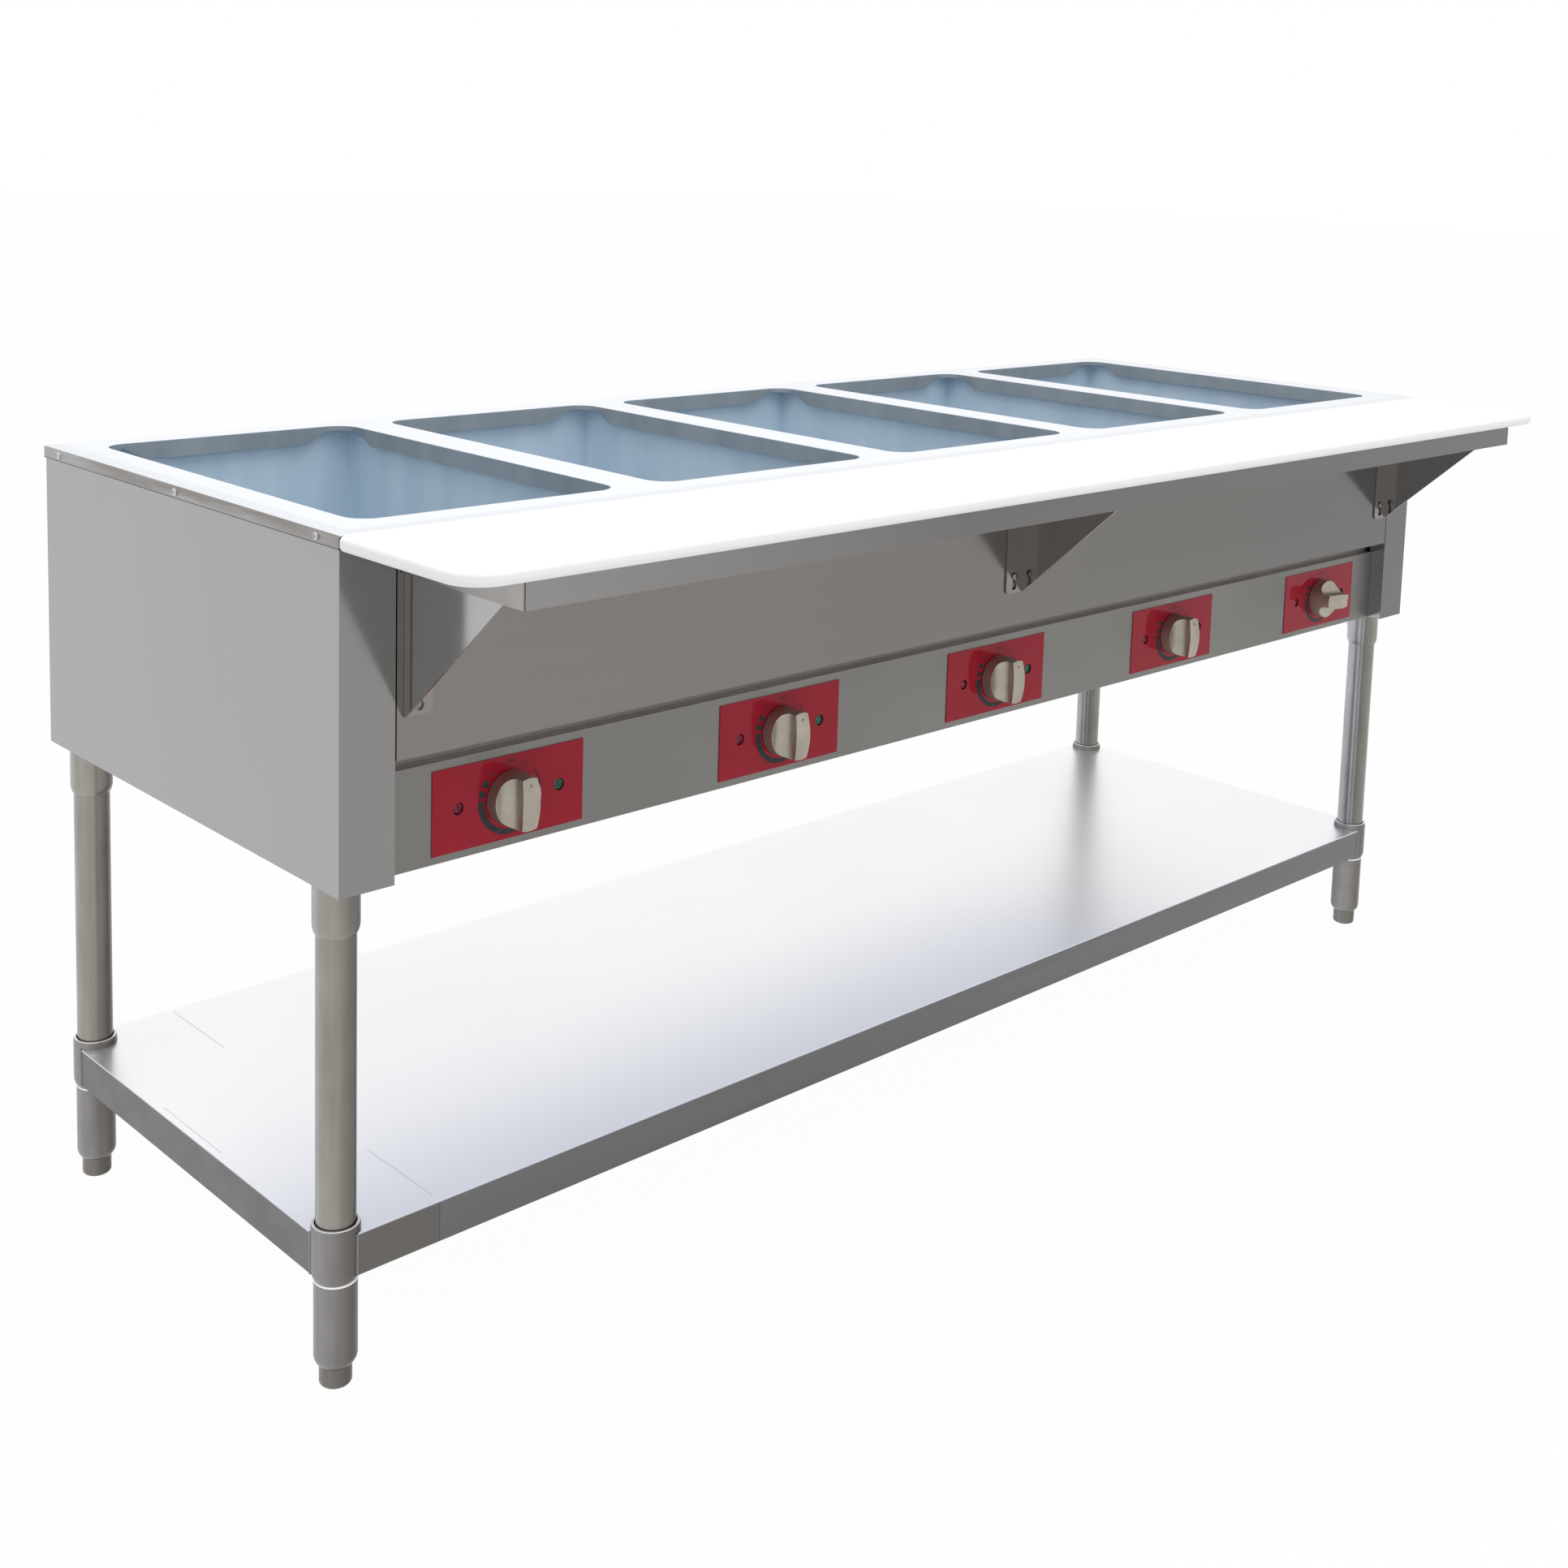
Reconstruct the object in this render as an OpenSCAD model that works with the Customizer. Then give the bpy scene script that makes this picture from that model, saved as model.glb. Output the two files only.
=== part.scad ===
// Five-well electric steam table on four legs.
// +X runs along the table, the front faces -Y, and the origin lies on the floor under the middle.

/* [Table] */
// Length of the deck, left end to right end
table_length = 1828; // [1780:2:1900]
// Depth of the body, front columns to back panel
body_depth = 610; // [600:2:640]
// Height of the deck above the floor
table_height = 825; // [780:5:900]
// Height of the body, from its bottom edge to the deck
body_height = 331; // [326:1:350]
// Thickness of the body's sheet metal
sheet = 1.2; // [0.9:0.1:1.5]
// Clearance between sheets that lap
lap_gap = 0.3; // [0.2:0.05:0.5]
// Depth of the turned-down rim round the deck
deck_rim = 13; // [11:0.5:16]
// Outside bend radius along the rim
bend_radius = 2; // [1.6:0.1:2.4]
// Width of the two front columns
column_width = 59; // [52:1:62]
// Width of the flange that the end panels turn in at the back
back_return = 25; // [18:1:35]
// Height of the bottom pan's turned-up edges
pan_edge = 20; // [12:1:30]

/* [Wells] */
// Width of the deck between two wells' openings
bridge = 52; // [50:1:60]
// Width of the deck outside the first and last openings
end_bridge = 47.5; // [46:0.5:60]
// Distance from the body's front to the openings
opening_front = 50; // [46:1:62]
// Distance from the openings to the body's back
opening_back = 35; // [30:1:60]
// Corner radius of the openings
opening_radius = 26; // [20:1:44]
// Depth of the lips turned down along an opening's sides
lip_depth = 18.5; // [15:0.5:24]
// Depth of the short lip round an opening's corners
corner_lip = 4.5; // [3:0.5:8]
// How far the end of a lip slopes in
lip_slope = 28; // [20:1:34]
// Distance from an opening's edge to the liner's wall
liner_gap = 10; // [7:0.5:11]
// Depth of a well liner below the deck
liner_depth = 210; // [190:1:214]
// Thickness of the liner's sheet
liner_sheet = 0.8; // [0.6:0.1:1]
// Width of the liner's top flange
liner_flange = 9; // [6:0.5:10]
// Diameter of the rivet heads in the liner's corners
rivet_d = 6; // [4:0.5:8]
// Height of a rivet head
rivet_h = 1.4; // [1:0.1:2]
// Distance of a rivet from the liner's corner
rivet_inset = 10; // [8:1:30]
// Distance of a rivet below the deck
rivet_drop = 20; // [16:1:40]
// Thickness of the insulation under each liner
insulation_h = 20; // [10:1:24]

/* [Heating] */
// Diameter of the heating tube
element_d = 8; // [6:0.5:10]
// Spacing of the heating tube's runs
element_run = 58; // [50:1:62]
// Height of the heating tube's centre above the liner's floor
element_rise = 16; // [14:0.5:24]
// Room between the heating tube's bends and the liner's end walls
element_margin = 40; // [30:1:60]
// Diameter of the flange that seals the tube in the liner's wall
seal_d = 20; // [16:1:24]
// Thickness of the seal flange and of its nut
seal_h = 4; // [3:0.5:5]
// Length of the terminal stud beyond the nut
stud_length = 14; // [8:1:16]
// Diameter of the terminal stud
stud_d = 4; // [3:0.5:5]
// Thickness of the strips that carry the heating tube
support_sheet = 1.5; // [1:0.1:2]
// Width of a strip's foot
support_foot = 14; // [8:1:20]

/* [Front] */
// Height of the slot between the upper front panel and the control panel
slot_height = 17; // [12:1:24]
// Gap between the upper front panel and each column
fascia_gap = 1.5; // [1:0.1:2]
// Depth of the upper front panel's turned-back edges
fascia_return = 16; // [10:1:20]
// Height of the control panel
panel_height = 99; // [96:1:103]
// How far the control panel lies behind the columns
panel_recess = 21; // [16:0.5:24]
// Depth of the control panel's turned-back edges
panel_return = 14; // [10:1:18]
// Depth of the control panel's bottom flange
panel_foot = 40; // [34:1:50]
// Height of the knobs' centres above the body's bottom edge
dial_rise = 49; // [46:0.5:51]
// Width of a dial plate
plate_width = 176; // [160:1:180]
// Height of a dial plate
plate_height = 83; // [78:1:86]
// Thickness of a dial plate
plate_sheet = 1; // [0.8:0.1:1.5]
// Distance from a knob's centre to its two lamps
lamp_offset = 59; // [52:1:66]
// Diameter of a lamp lens
lens_d = 12; // [10:0.5:14]
// Height of a lens
lens_h = 5; // [4:0.5:8]
// How far a lens lies behind the dial plate's face
lens_recess = 1.5; // [0.4:0.1:2]
// Diameter of the lamp holder behind the panel
holder_d = 18; // [16:0.5:22]
// Length of the lamp holder
holder_length = 22; // [16:1:26]

/* [Knobs] */
// Diameter of a knob's skirt
knob_d = 54; // [50:1:58]
// Diameter of a knob at its front
knob_front_d = 52; // [48:1:54]
// Height of the skirt
skirt_h = 13.5; // [12:0.5:16]
// Height of a knob over its grip
knob_h = 35; // [32:0.5:40]
// Width of the grip at its waist
grip_waist = 16; // [14:0.5:20]
// Radius of the hollow along each side of the grip
grip_hollow = 14; // [12:0.5:16]
// Rise of the crown along the grip
grip_crown = 4; // [2:0.5:6]
// Wall of the skirt
skirt_wall = 3; // [2:0.5:4]
// Depth of the hollow under the skirt
skirt_hollow = 10; // [9:0.5:11]
// Gap between a knob and its dial plate
knob_gap = 1; // [0.6:0.1:1.6]
// Diameter of the sunk dot on the grip
dot_d = 3; // [2:0.5:4]
// Depth of the sunk dot
dot_h = 0.8; // [0.5:0.1:1.2]
// Distance of the dot from the knob's centre
dot_offset = 19; // [15:0.5:22]
// How far the last knob is turned clockwise
last_knob_turn = 95; // [0:5:270]
// Diameter of the control shaft
shaft_d = 6; // [5:0.1:7]
// Depth of the flat on the control shaft
shaft_flat = 1.5; // [1:0.1:2]
// How deep the shaft sits in the knob above its hollow
shaft_seat = 14; // [10:0.5:16]
// Radial clearance of the control shaft
shaft_fit = 0.06; // [0.04:0.01:0.1]
// Diameter of the threaded bush round the shaft
bush_d = 10; // [9:0.5:12]
// Height of the bush in front of the dial plate
bush_h = 6; // [5:0.5:7]
// Width across the corners of the bush's nut
bush_nut_d = 16; // [14:0.5:20]
// Height of the bush's nut
bush_nut_h = 3; // [2:0.5:4]
// Width and height of a heat switch
switch_width = 44; // [36:1:50]
// Depth of a heat switch
switch_depth = 32; // [26:1:40]
// Depth of the shaft's bore in the switch
switch_bore = 12; // [8:1:16]
// Length of the switch's terminal blades
blade_length = 8; // [6:0.5:10]
// Width of a terminal blade
blade_width = 6.3; // [5:0.1:8]
// Thickness of a terminal blade
blade_sheet = 0.8; // [0.6:0.1:1.2]

/* [Work shelf] */
// Depth of the cutting board
board_depth = 194.5; // [180:0.5:220]
// Thickness of the cutting board
board_thickness = 15; // [14:0.5:18]
// Radius of the board's front corners in plan
board_radius = 38; // [28:1:50]
// Radius along the board's outer edges
board_round = 6; // [4:0.5:6.5]
// Gap between the board and the deck
board_gap = 1.5; // [1.2:0.1:2.5]
// How far the board reaches past the shelf's front lip
board_overhang = 14; // [8:0.5:18]
// Distance from each end of the table to the shelf's end
shelf_inset = 66; // [60:1:74]
// Depth of the shelf's turned-down edges below its top
shelf_lip = 27; // [21:0.5:30]
// Depth of the shelf's turned-down back edge
shelf_back_lip = 12; // [8:0.5:13]
// Thickness of the brackets
bracket_sheet = 2; // [1.5:0.1:2.5]
// Distance from the deck down to the brackets' lower end
bracket_drop = 175; // [173:1:185]
// Distance from the shelf's front lip back to the brackets' noses
bracket_inset = 8; // [4:0.5:20]
// Height of the brackets' front nose
bracket_nose = 5; // [3:0.5:8]
// Width of the brackets' wall flange
bracket_flange = 30; // [26:1:36]
// Width of the flange that carries the shelf
bracket_top_flange = 22; // [16:1:28]
// Corner radius of the wall flange
bracket_radius = 6; // [4:0.5:8]
// Distance from the table's middle to the middle bracket
middle_offset = 15; // [5:1:25]
// Distance from the deck down to the upper hanging screws
screw_drop_upper = 62; // [56:1:70]
// Distance from the deck down to the lower hanging screws
screw_drop_lower = 154; // [145:1:156]
// Lift that frees the shelf from its hanging screws
hang_lift = 12.5; // [11:0.5:13]
// Shank diameter of the hanging screws
hang_screw_d = 5; // [4:0.1:6]
// Head diameter of the hanging screws
hang_head_d = 8.2; // [7.5:0.1:9]
// Head height of the hanging screws
hang_head_h = 2.6; // [2:0.1:3]
// Clearance round the hanging screws
hang_fit = 0.35; // [0.3:0.05:0.6]
// Shank diameter of the board's screws
board_screw_d = 3.4; // [3:0.1:5]
// Length of the board's screws in the board
board_screw_bite = 9; // [6:0.5:11]
// Head diameter of the board's screws
board_head_d = 8; // [7:0.1:9]
// Head height of the board's screws
board_head_h = 2; // [1.5:0.1:3]
// Clearance round the board's screws
screw_fit = 0.15; // [0.1:0.05:0.3]

/* [Deck screws] */
// Distance from each end of the deck's side rim to its outer screws
deck_screw_inset = 38; // [30:1:50]
// Shank diameter of the deck screws
deck_screw_d = 3.5; // [3:0.1:4]
// Length of the deck screws' shanks
deck_screw_length = 8; // [6:0.5:12]
// Head diameter of the deck screws
deck_head_d = 8; // [6:0.1:9]
// Head height of the deck screws
deck_head_h = 2.2; // [1.2:0.1:2.6]

/* [Legs] */
// Distance from each end of the table to the legs' centres
leg_inset = 26.5; // [26:0.5:30]
// Distance from the body's front and back to the legs' centres
leg_setback = 48; // [46:1:56]
// Diameter of a leg tube
leg_d = 38; // [36:0.5:38.5]
// Wall of a leg tube
leg_wall = 1.5; // [1:0.1:2.5]
// Radial clearance of a leg in its socket and sleeve
leg_fit = 0.3; // [0.2:0.05:0.4]
// Diameter of the leg sockets
socket_d = 44.5; // [43:0.5:46]
// Length of the leg sockets below the body
socket_length = 50; // [44:1:75]
// Height of the rounded shoulder at the lower end of sockets, collars and sleeves
shoulder_h = 9.5; // [6:0.5:12]
// Wall left at the lower end of sockets and collars
shoulder_wall = 0.4; // [0.3:0.05:0.8]
// Thickness of the socket's mounting plate
socket_plate = 2.5; // [2:0.1:4]
// Length of the socket's mounting plate
socket_plate_length = 68; // [56:1:80]
// Diameter of the socket's clamping screw
clamp_d = 6; // [5:0.1:8]
// Distance from the body's bottom down to the clamping screw
clamp_drop = 26; // [20:1:32]
// How far the clamping screw stands out of the socket
clamp_stand = 3; // [2:0.5:6]

/* [Undershelf] */
// Height of the undershelf's top above the floor
undershelf_height = 154; // [140:1:170]
// Depth of the undershelf's turned-down edges
undershelf_lip = 42; // [34:1:46]
// Width of the hem along the undershelf's lower edges
undershelf_hem = 10; // [6:0.5:14]
// Diameter of the undershelf's corner collars
collar_d = 46.5; // [45:0.5:50]
// Length of a collar
collar_length = 55; // [52:1:66]
// How far a collar stands above the undershelf
collar_rise = 8; // [5:0.5:10]
// Height of the rounded rim at a collar's top
rim_h = 4; // [2:0.5:6]
// How far the rim is rounded in
rim_in = 1.2; // [0.8:0.1:1.6]
// Radial gap between a collar and its leg
collar_gap = 1.2; // [0.6:0.1:1.6]
// How far the undershelf's edges lie inside the collars' outsides
collar_stand = 2; // [1:0.5:4]
// Width of the stiffening channel's top
channel_width = 60; // [40:1:90]
// Depth of the stiffening channel
channel_depth = 25; // [15:1:30]

/* [Feet] */
// Diameter of the sleeves round the legs' lower ends
sleeve_d = 41.4; // [41:0.1:43]
// Diameter of a sleeve's lower end
sleeve_end_d = 33; // [30:0.5:36]
// Height of the neck on top of a sleeve, on which a collar rests
neck_h = 2.5; // [2:0.1:5]
// Diameter of the neck
neck_d = 40.6; // [40:0.1:41]
// Height of the solid lower end of a sleeve
sleeve_floor = 29; // [27:1:40]
// Diameter of a foot
foot_d = 31; // [28:0.5:34]
// Height of a foot
foot_h = 21; // [16:0.5:30]
// Radius round a foot's lower edge
foot_round = 4; // [2:0.5:6]
// Diameter of a foot's stem
stem_d = 14; // [12:0.5:16]
// Length of a foot's stem
stem_length = 48; // [44:1:60]
// Radial clearance of a foot's stem
stem_fit = 0.08; // [0.05:0.01:0.1]

/* [Supply] */
// Diameter of the wiring trunk
trunk_d = 10; // [8:0.5:12]
// Diameter of the wires up to a switch
riser_d = 5; // [4:0.5:6]
// Distance from the body's front to the wiring trunk
trunk_setback = 92; // [84:1:110]
// Distance from the table's right end to the terminal block's middle
terminal_inset = 124; // [114:1:144]
// Length of the terminal block
terminal_length = 60; // [50:1:70]
// Width of the terminal block
terminal_width = 30; // [24:1:36]
// Height of the terminal block
terminal_height = 25; // [18:1:30]
// Clearance between the bottom pan's edge and the cord gland's nut
gland_rise = 5; // [3:1:20]
// Diameter of the cord gland's body
gland_d = 22; // [18:1:26]
// Bore of the cord gland
gland_bore = 12; // [8:0.5:14]
// Diameter of the gland's outer flange
gland_flange_d = 30; // [28:1:36]
// Thickness of the gland's outer flange
gland_flange_h = 2.6; // [1.5:0.1:2.8]
// Width across the corners of the gland's nut
gland_nut_d = 30; // [28:1:34]
// Height of the gland's nut
gland_nut_h = 6; // [4:0.5:8]
// How far the gland's body stands out of its nut
gland_tail = 6; // [4:0.5:12]

/* [Hidden] */
$fn = 64;
// Overshoot that lets a cut run clear through a face
over = 1;
well_count = 5;
last_well = well_count - 1;
// Straight steps that stand for an arc in a turned profile
arc_steps = 6;

// Main planes
deck_z = table_height;
under_z = deck_z - sheet;
base_z = deck_z - body_height;
board_reach = board_gap + board_depth;
front_y = board_reach - (body_depth + board_reach) / 2;
back_y = front_y + body_depth;
end_x = table_length / 2;
skin = sheet + lap_gap;
skin_x = end_x - skin;
skin_front = front_y + skin;
skin_back = back_y - skin;
column_x = end_x - column_width;
column_return = panel_recess + sheet + lap_gap + over;
panel_y = skin_front + panel_recess;
plate_y = panel_y - plate_sheet;
panel_back = panel_y + sheet;
dial_z = base_z + dial_rise;
panel_top = base_z + panel_height;
inner_x = skin_x - sheet - lap_gap;
back_inner = skin_back - 2 * sheet - lap_gap;
pan_z = base_z + sheet + socket_plate;
pan_front = panel_back + panel_return + lap_gap;

// Wells
opening_width = (table_length - 2 * end_bridge - last_well * bridge) / well_count;
opening_length = body_depth - opening_front - opening_back;
well_pitch = opening_width + bridge;
opening_y = front_y + opening_front + opening_length / 2;
liner_width = opening_width + 2 * liner_gap;
liner_length = opening_length + 2 * liner_gap;
liner_floor = under_z - liner_depth;
liner_front = opening_y - liner_length / 2;
liner_back = opening_y + liner_length / 2;
element_z = liner_floor + liner_sheet + element_rise;
element_front = liner_front + element_margin + element_run / 2;
element_back = liner_back - element_margin - element_run / 2;
run_count = 4;
outer_run = (run_count - 1) / 2;
element_runs = [for (i = [0 : run_count - 1]) i - outer_run];
terminal_runs = [-outer_run, outer_run];

// Knobs
shaft_tip = skirt_hollow + shaft_seat;
grip_side = grip_waist / 2 + grip_hollow;
crown_radius = (pow(knob_d / 2, 2) + pow(grip_crown, 2)) / (2 * grip_crown);
crown_z = knob_h - crown_radius;
dot_z = crown_z + sqrt(pow(crown_radius, 2) - pow(dot_offset, 2)) - dot_h;
lamp_sides = [-1, 1];

// Work shelf, measured from the deck
shelf_z = deck_z - board_thickness;
shelf_under = shelf_z - sheet;
board_front = front_y - board_reach;
board_back = front_y - board_gap;
shelf_front = board_front + board_overhang;
shelf_x = end_x - shelf_inset;
bracket_x = shelf_x - sheet - lap_gap;
bracket_back = skin_front - lap_gap;
bracket_face = bracket_back - bracket_sheet;
bracket_bottom = deck_z - bracket_drop;
flange_top = deck_z - deck_rim - hang_lift - 2 * over;
gusset_back = board_back - sheet - lap_gap;
gusset_front = shelf_front + bracket_inset;
hang_x = (bracket_flange + bracket_sheet) / 2;
hang_places = [for (x = [bracket_x, middle_offset]) x - hang_x];
hang_xs = concat(hang_places, [hang_x - bracket_x]);
hang_zs = [deck_z - screw_drop_upper, deck_z - screw_drop_lower];
board_screw_xs = [for (i = [0 : last_well - 1]) (i - (last_well - 1) / 2) * well_pitch];
board_screw_y = (board_front + board_back) / 2;

// Legs
leg_x = end_x - leg_inset;
leg_ys = [front_y + leg_setback, back_y - leg_setback];
leg_places = [for (y = leg_ys, x = [-leg_x, leg_x]) [x, y]];
socket_bore = leg_d + 2 * leg_fit;
undershelf_x = leg_x + collar_d / 2 - collar_stand;
undershelf_front = leg_ys[0] - collar_d / 2 + collar_stand;
undershelf_back = leg_ys[1] + collar_d / 2 - collar_stand;
collar_bottom = undershelf_height + collar_rise - collar_length;
collar_bore = leg_d + 2 * collar_gap;
sleeve_bottom = foot_h + lap_gap;
leg_bottom = sleeve_bottom + sleeve_floor;
stem_bore = stem_d + 2 * stem_fit;
deck_screw_ys = [front_y + deck_screw_inset, (front_y + back_y) / 2, back_y - deck_screw_inset];
deck_screw_z = deck_z - deck_rim / 2;

// Supply
trunk_y = front_y + trunk_setback;
trunk_z = pan_z + sheet + trunk_d / 2;
terminal_x = end_x - terminal_inset;
gland_z = pan_z + pan_edge + gland_rise + gland_nut_d / 2;
gland_start = back_inner - gland_nut_h - gland_tail;
gland_length = gland_nut_h + gland_tail + sheet + gland_flange_h;

steel = [0.68, 0.68, 0.69];
warm_steel = [0.55, 0.54, 0.52];
blue_steel = [0.47, 0.57, 0.66];

function well_x(i) = (i - last_well / 2) * well_pitch;
function knob_turn(i) = i == last_well ? last_knob_turn : 0;

// Shared shapes

module block(x, y, z) {
    translate([x[0], y[0], z[0]])
        cube([x[1] - x[0], y[1] - y[0], z[1] - z[0]]);
}

module along_x(place, d, length) {
    translate(place) rotate([0, 90, 0]) cylinder(d = d, h = length);
}

module along_y(place, d, length) {
    translate(place) rotate([-90, 0, 0]) cylinder(d = d, h = length);
}

module post(place, d, height) {
    translate(place) cylinder(d = d, h = height);
}

module hex_along_y(place, d, length) {
    translate(place) rotate([-90, 0, 0]) cylinder(d = d, h = length, $fn = 6);
}

module rounded_square(width, length, radius) {
    square([width - 2 * radius, length], center = true);
    square([width, length - 2 * radius], center = true);
    for (x = [-1, 1], y = [-1, 1])
        translate([x * (width / 2 - radius), y * (length / 2 - radius)])
            circle(r = radius);
}

// Sheet bent down along all four sides, open below
module tray(x, y, top, depth, thickness) {
    difference() {
        block(x, y, [top - depth, top]);
        block([x[0] + thickness, x[1] - thickness], [y[0] + thickness, y[1] - thickness],
              [top - depth - over, top - thickness]);
    }
}

// Cutter that rounds a long top edge, with the solid on its +Y side
module edge_cutter(length, radius) {
    difference() {
        block([-length / 2, length / 2], [-over, radius], [-radius, over]);
        along_x([-length / 2 - over, radius, -radius], 2 * radius, length + 2 * over);
    }
}

// Arc that leaves a tube's side and comes in by depth over height, as [radius, rise] pairs
function shoulder(radius, depth, height) =
    let (arc = (pow(height, 2) + pow(depth, 2)) / (2 * depth))
    [for (i = [0 : arc_steps]) let (rise = height * i / arc_steps)
        [radius - arc + sqrt(pow(arc, 2) - pow(rise, 2)), rise]];

// Tube with a rounded shoulder at its lower end and, where rim is set, a rounded rim at its top
module shouldered_tube(outer, end, bore, bottom, top, rim = 0) {
    lower = shoulder(outer / 2, (outer - end) / 2, shoulder_h);
    side = [for (p = lower) [p[0], bottom + shoulder_h - p[1]]];
    upper = rim > 0 ? shoulder(outer / 2, rim, rim_h) : [[outer / 2, rim_h]];
    edge = [for (i = [len(upper) - 1 : -1 : 0]) [upper[i][0], top - rim_h + upper[i][1]]];
    rotate_extrude()
        polygon(concat([[bore / 2, top]], edge, side, [[bore / 2, bottom]]));
}

module at_legs() {
    for (place = leg_places)
        translate([place[0], place[1], 0]) children();
}

module at_openings() {
    for (i = [0 : last_well])
        translate([well_x(i), opening_y, 0]) children();
}

module at_dials() {
    for (i = [0 : last_well])
        translate([well_x(i), 0, dial_z]) children();
}

// Deck

module opening_lips() {
    half_x = opening_width / 2;
    half_y = opening_length / 2;
    for (side = [-1, 1]) {
        translate([0, side > 0 ? half_y + sheet : -half_y, under_z])
            rotate([90, 0, 0]) straight_lip(half_x - opening_radius);
        translate([side > 0 ? half_x : -half_x - sheet, 0, under_z])
            rotate([90, 0, 90]) straight_lip(half_y - opening_radius);
    }
    for (x = [-1, 1], y = [-1, 1])
        translate([x * (half_x - opening_radius), y * (half_y - opening_radius), 0])
            corner_curl(x, y);
}

module straight_lip(half) {
    linear_extrude(sheet)
        polygon([
            [-half, 0], [half, 0], [half, -corner_lip], [half - lip_slope, -lip_depth],
            [lip_slope - half, -lip_depth], [-half, -corner_lip]
        ]);
}

module corner_curl(x, y) {
    reach = opening_radius + sheet + over;
    intersection() {
        difference() {
            post([0, 0, under_z - corner_lip], 2 * (opening_radius + sheet), corner_lip);
            post([0, 0, under_z - corner_lip - over], 2 * opening_radius, corner_lip + 2 * over);
        }
        block([min(0, x * reach), max(0, x * reach)], [min(0, y * reach), max(0, y * reach)],
              [under_z - corner_lip, under_z]);
    }
}

module top_sheet() {
    color(steel) {
        difference() {
            tray([-end_x, end_x], [front_y, back_y], deck_z, deck_rim, sheet);
            at_openings()
                translate([0, 0, under_z - over]) linear_extrude(sheet + 2 * over)
                    rounded_square(opening_width, opening_length, opening_radius);
            translate([0, front_y, deck_z]) edge_cutter(table_length + 2 * over, bend_radius);
            translate([0, back_y, deck_z]) mirror([0, 1, 0])
                edge_cutter(table_length + 2 * over, bend_radius);
            for (side = [-1, 1])
                translate([side * end_x, (front_y + back_y) / 2, deck_z]) rotate([0, 0, side * 90])
                    edge_cutter(body_depth + 2 * over, bend_radius);
            deck_screw_holes();
        }
        at_openings() opening_lips();
    }
}

module deck_screw_holes() {
    for (y = deck_screw_ys, side = [-1, 1])
        along_x([side * end_x - deck_screw_length, y, deck_screw_z],
                deck_screw_d + 2 * screw_fit, 2 * deck_screw_length);
}

module deck_screws() {
    color(steel)
        for (y = deck_screw_ys, side = [0, 1]) mirror([side, 0, 0]) {
            along_x([-end_x, y, deck_screw_z], deck_screw_d, deck_screw_length);
            along_x([-end_x - deck_head_h, y, deck_screw_z], deck_head_d, deck_head_h);
        }
}

// Body panels

module end_panel() {
    difference() {
        union() {
            block([-skin_x, sheet - skin_x], [skin_front, skin_back], [base_z, under_z]);
            block([-skin_x, -column_x], [skin_front, skin_front + sheet], [base_z, under_z]);
            block([-column_x - sheet, -column_x], [skin_front, skin_front + column_return],
                  [base_z, under_z]);
            block([-skin_x, back_return - skin_x], [skin_back - sheet, skin_back],
                  [base_z, under_z]);
            block([-skin_x, -column_x], [skin_front, skin_back], [base_z, base_z + sheet]);
        }
        for (y = leg_ys)
            post([-leg_x, y, base_z - over], socket_d + 2 * lap_gap, sheet + 2 * over);
        deck_screw_holes();
    }
}

module left_end_panel() {
    color(steel) end_panel();
}

module right_end_panel() {
    color(steel) mirror([1, 0, 0]) end_panel();
}

module back_panel() {
    color(steel)
        difference() {
            block([-inner_x, inner_x], [back_inner, back_inner + sheet],
                  [base_z + sheet + lap_gap, under_z]);
            along_y([terminal_x, back_inner - over, gland_z], gland_d + 2 * screw_fit,
                    sheet + 2 * over);
        }
}

module front_fascia() {
    half = column_x - fascia_gap;
    bottom = panel_top + slot_height;
    color(warm_steel)
        difference() {
            block([-half, half], [skin_front, skin_front + fascia_return], [bottom, under_z]);
            block([sheet - half, half - sheet],
                  [skin_front + sheet, skin_front + fascia_return + over],
                  [bottom + sheet, under_z + over]);
            for (x = hang_xs, z = hang_zs)
                along_y([x, skin_front - over, z], hang_screw_d + 2 * screw_fit, sheet + 2 * over);
        }
}

module control_panel() {
    half = column_x - lap_gap;
    color(warm_steel)
        difference() {
            union() {
                block([-half, half], [panel_y, panel_back], [base_z, panel_top]);
                block([-half, half], [panel_y, panel_y + panel_foot], [base_z, base_z + sheet]);
                block([-half, half], [panel_y, panel_y + panel_return], [panel_top - sheet, panel_top]);
                for (x = [-half, half - sheet])
                    block([x, x + sheet], [panel_y, panel_y + panel_return], [base_z, panel_top]);
            }
            dial_holes();
        }
}

module dial_holes() {
    at_dials() {
        along_y([0, plate_y - over, 0], bush_d + 2 * screw_fit, plate_sheet + sheet + 2 * over);
        for (side = lamp_sides)
            along_y([side * lamp_offset, plate_y - over, 0], lens_d + 2 * screw_fit,
                    plate_sheet + sheet + 2 * over);
    }
}

module bottom_pan() {
    color(steel)
        difference() {
            block([-inner_x, inner_x], [pan_front, back_inner - lap_gap], [pan_z, pan_z + pan_edge]);
            block([sheet - inner_x, inner_x - sheet],
                  [pan_front - over, back_inner - lap_gap - sheet],
                  [pan_z + sheet, pan_z + pan_edge + over]);
        }
}

// Wells

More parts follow.
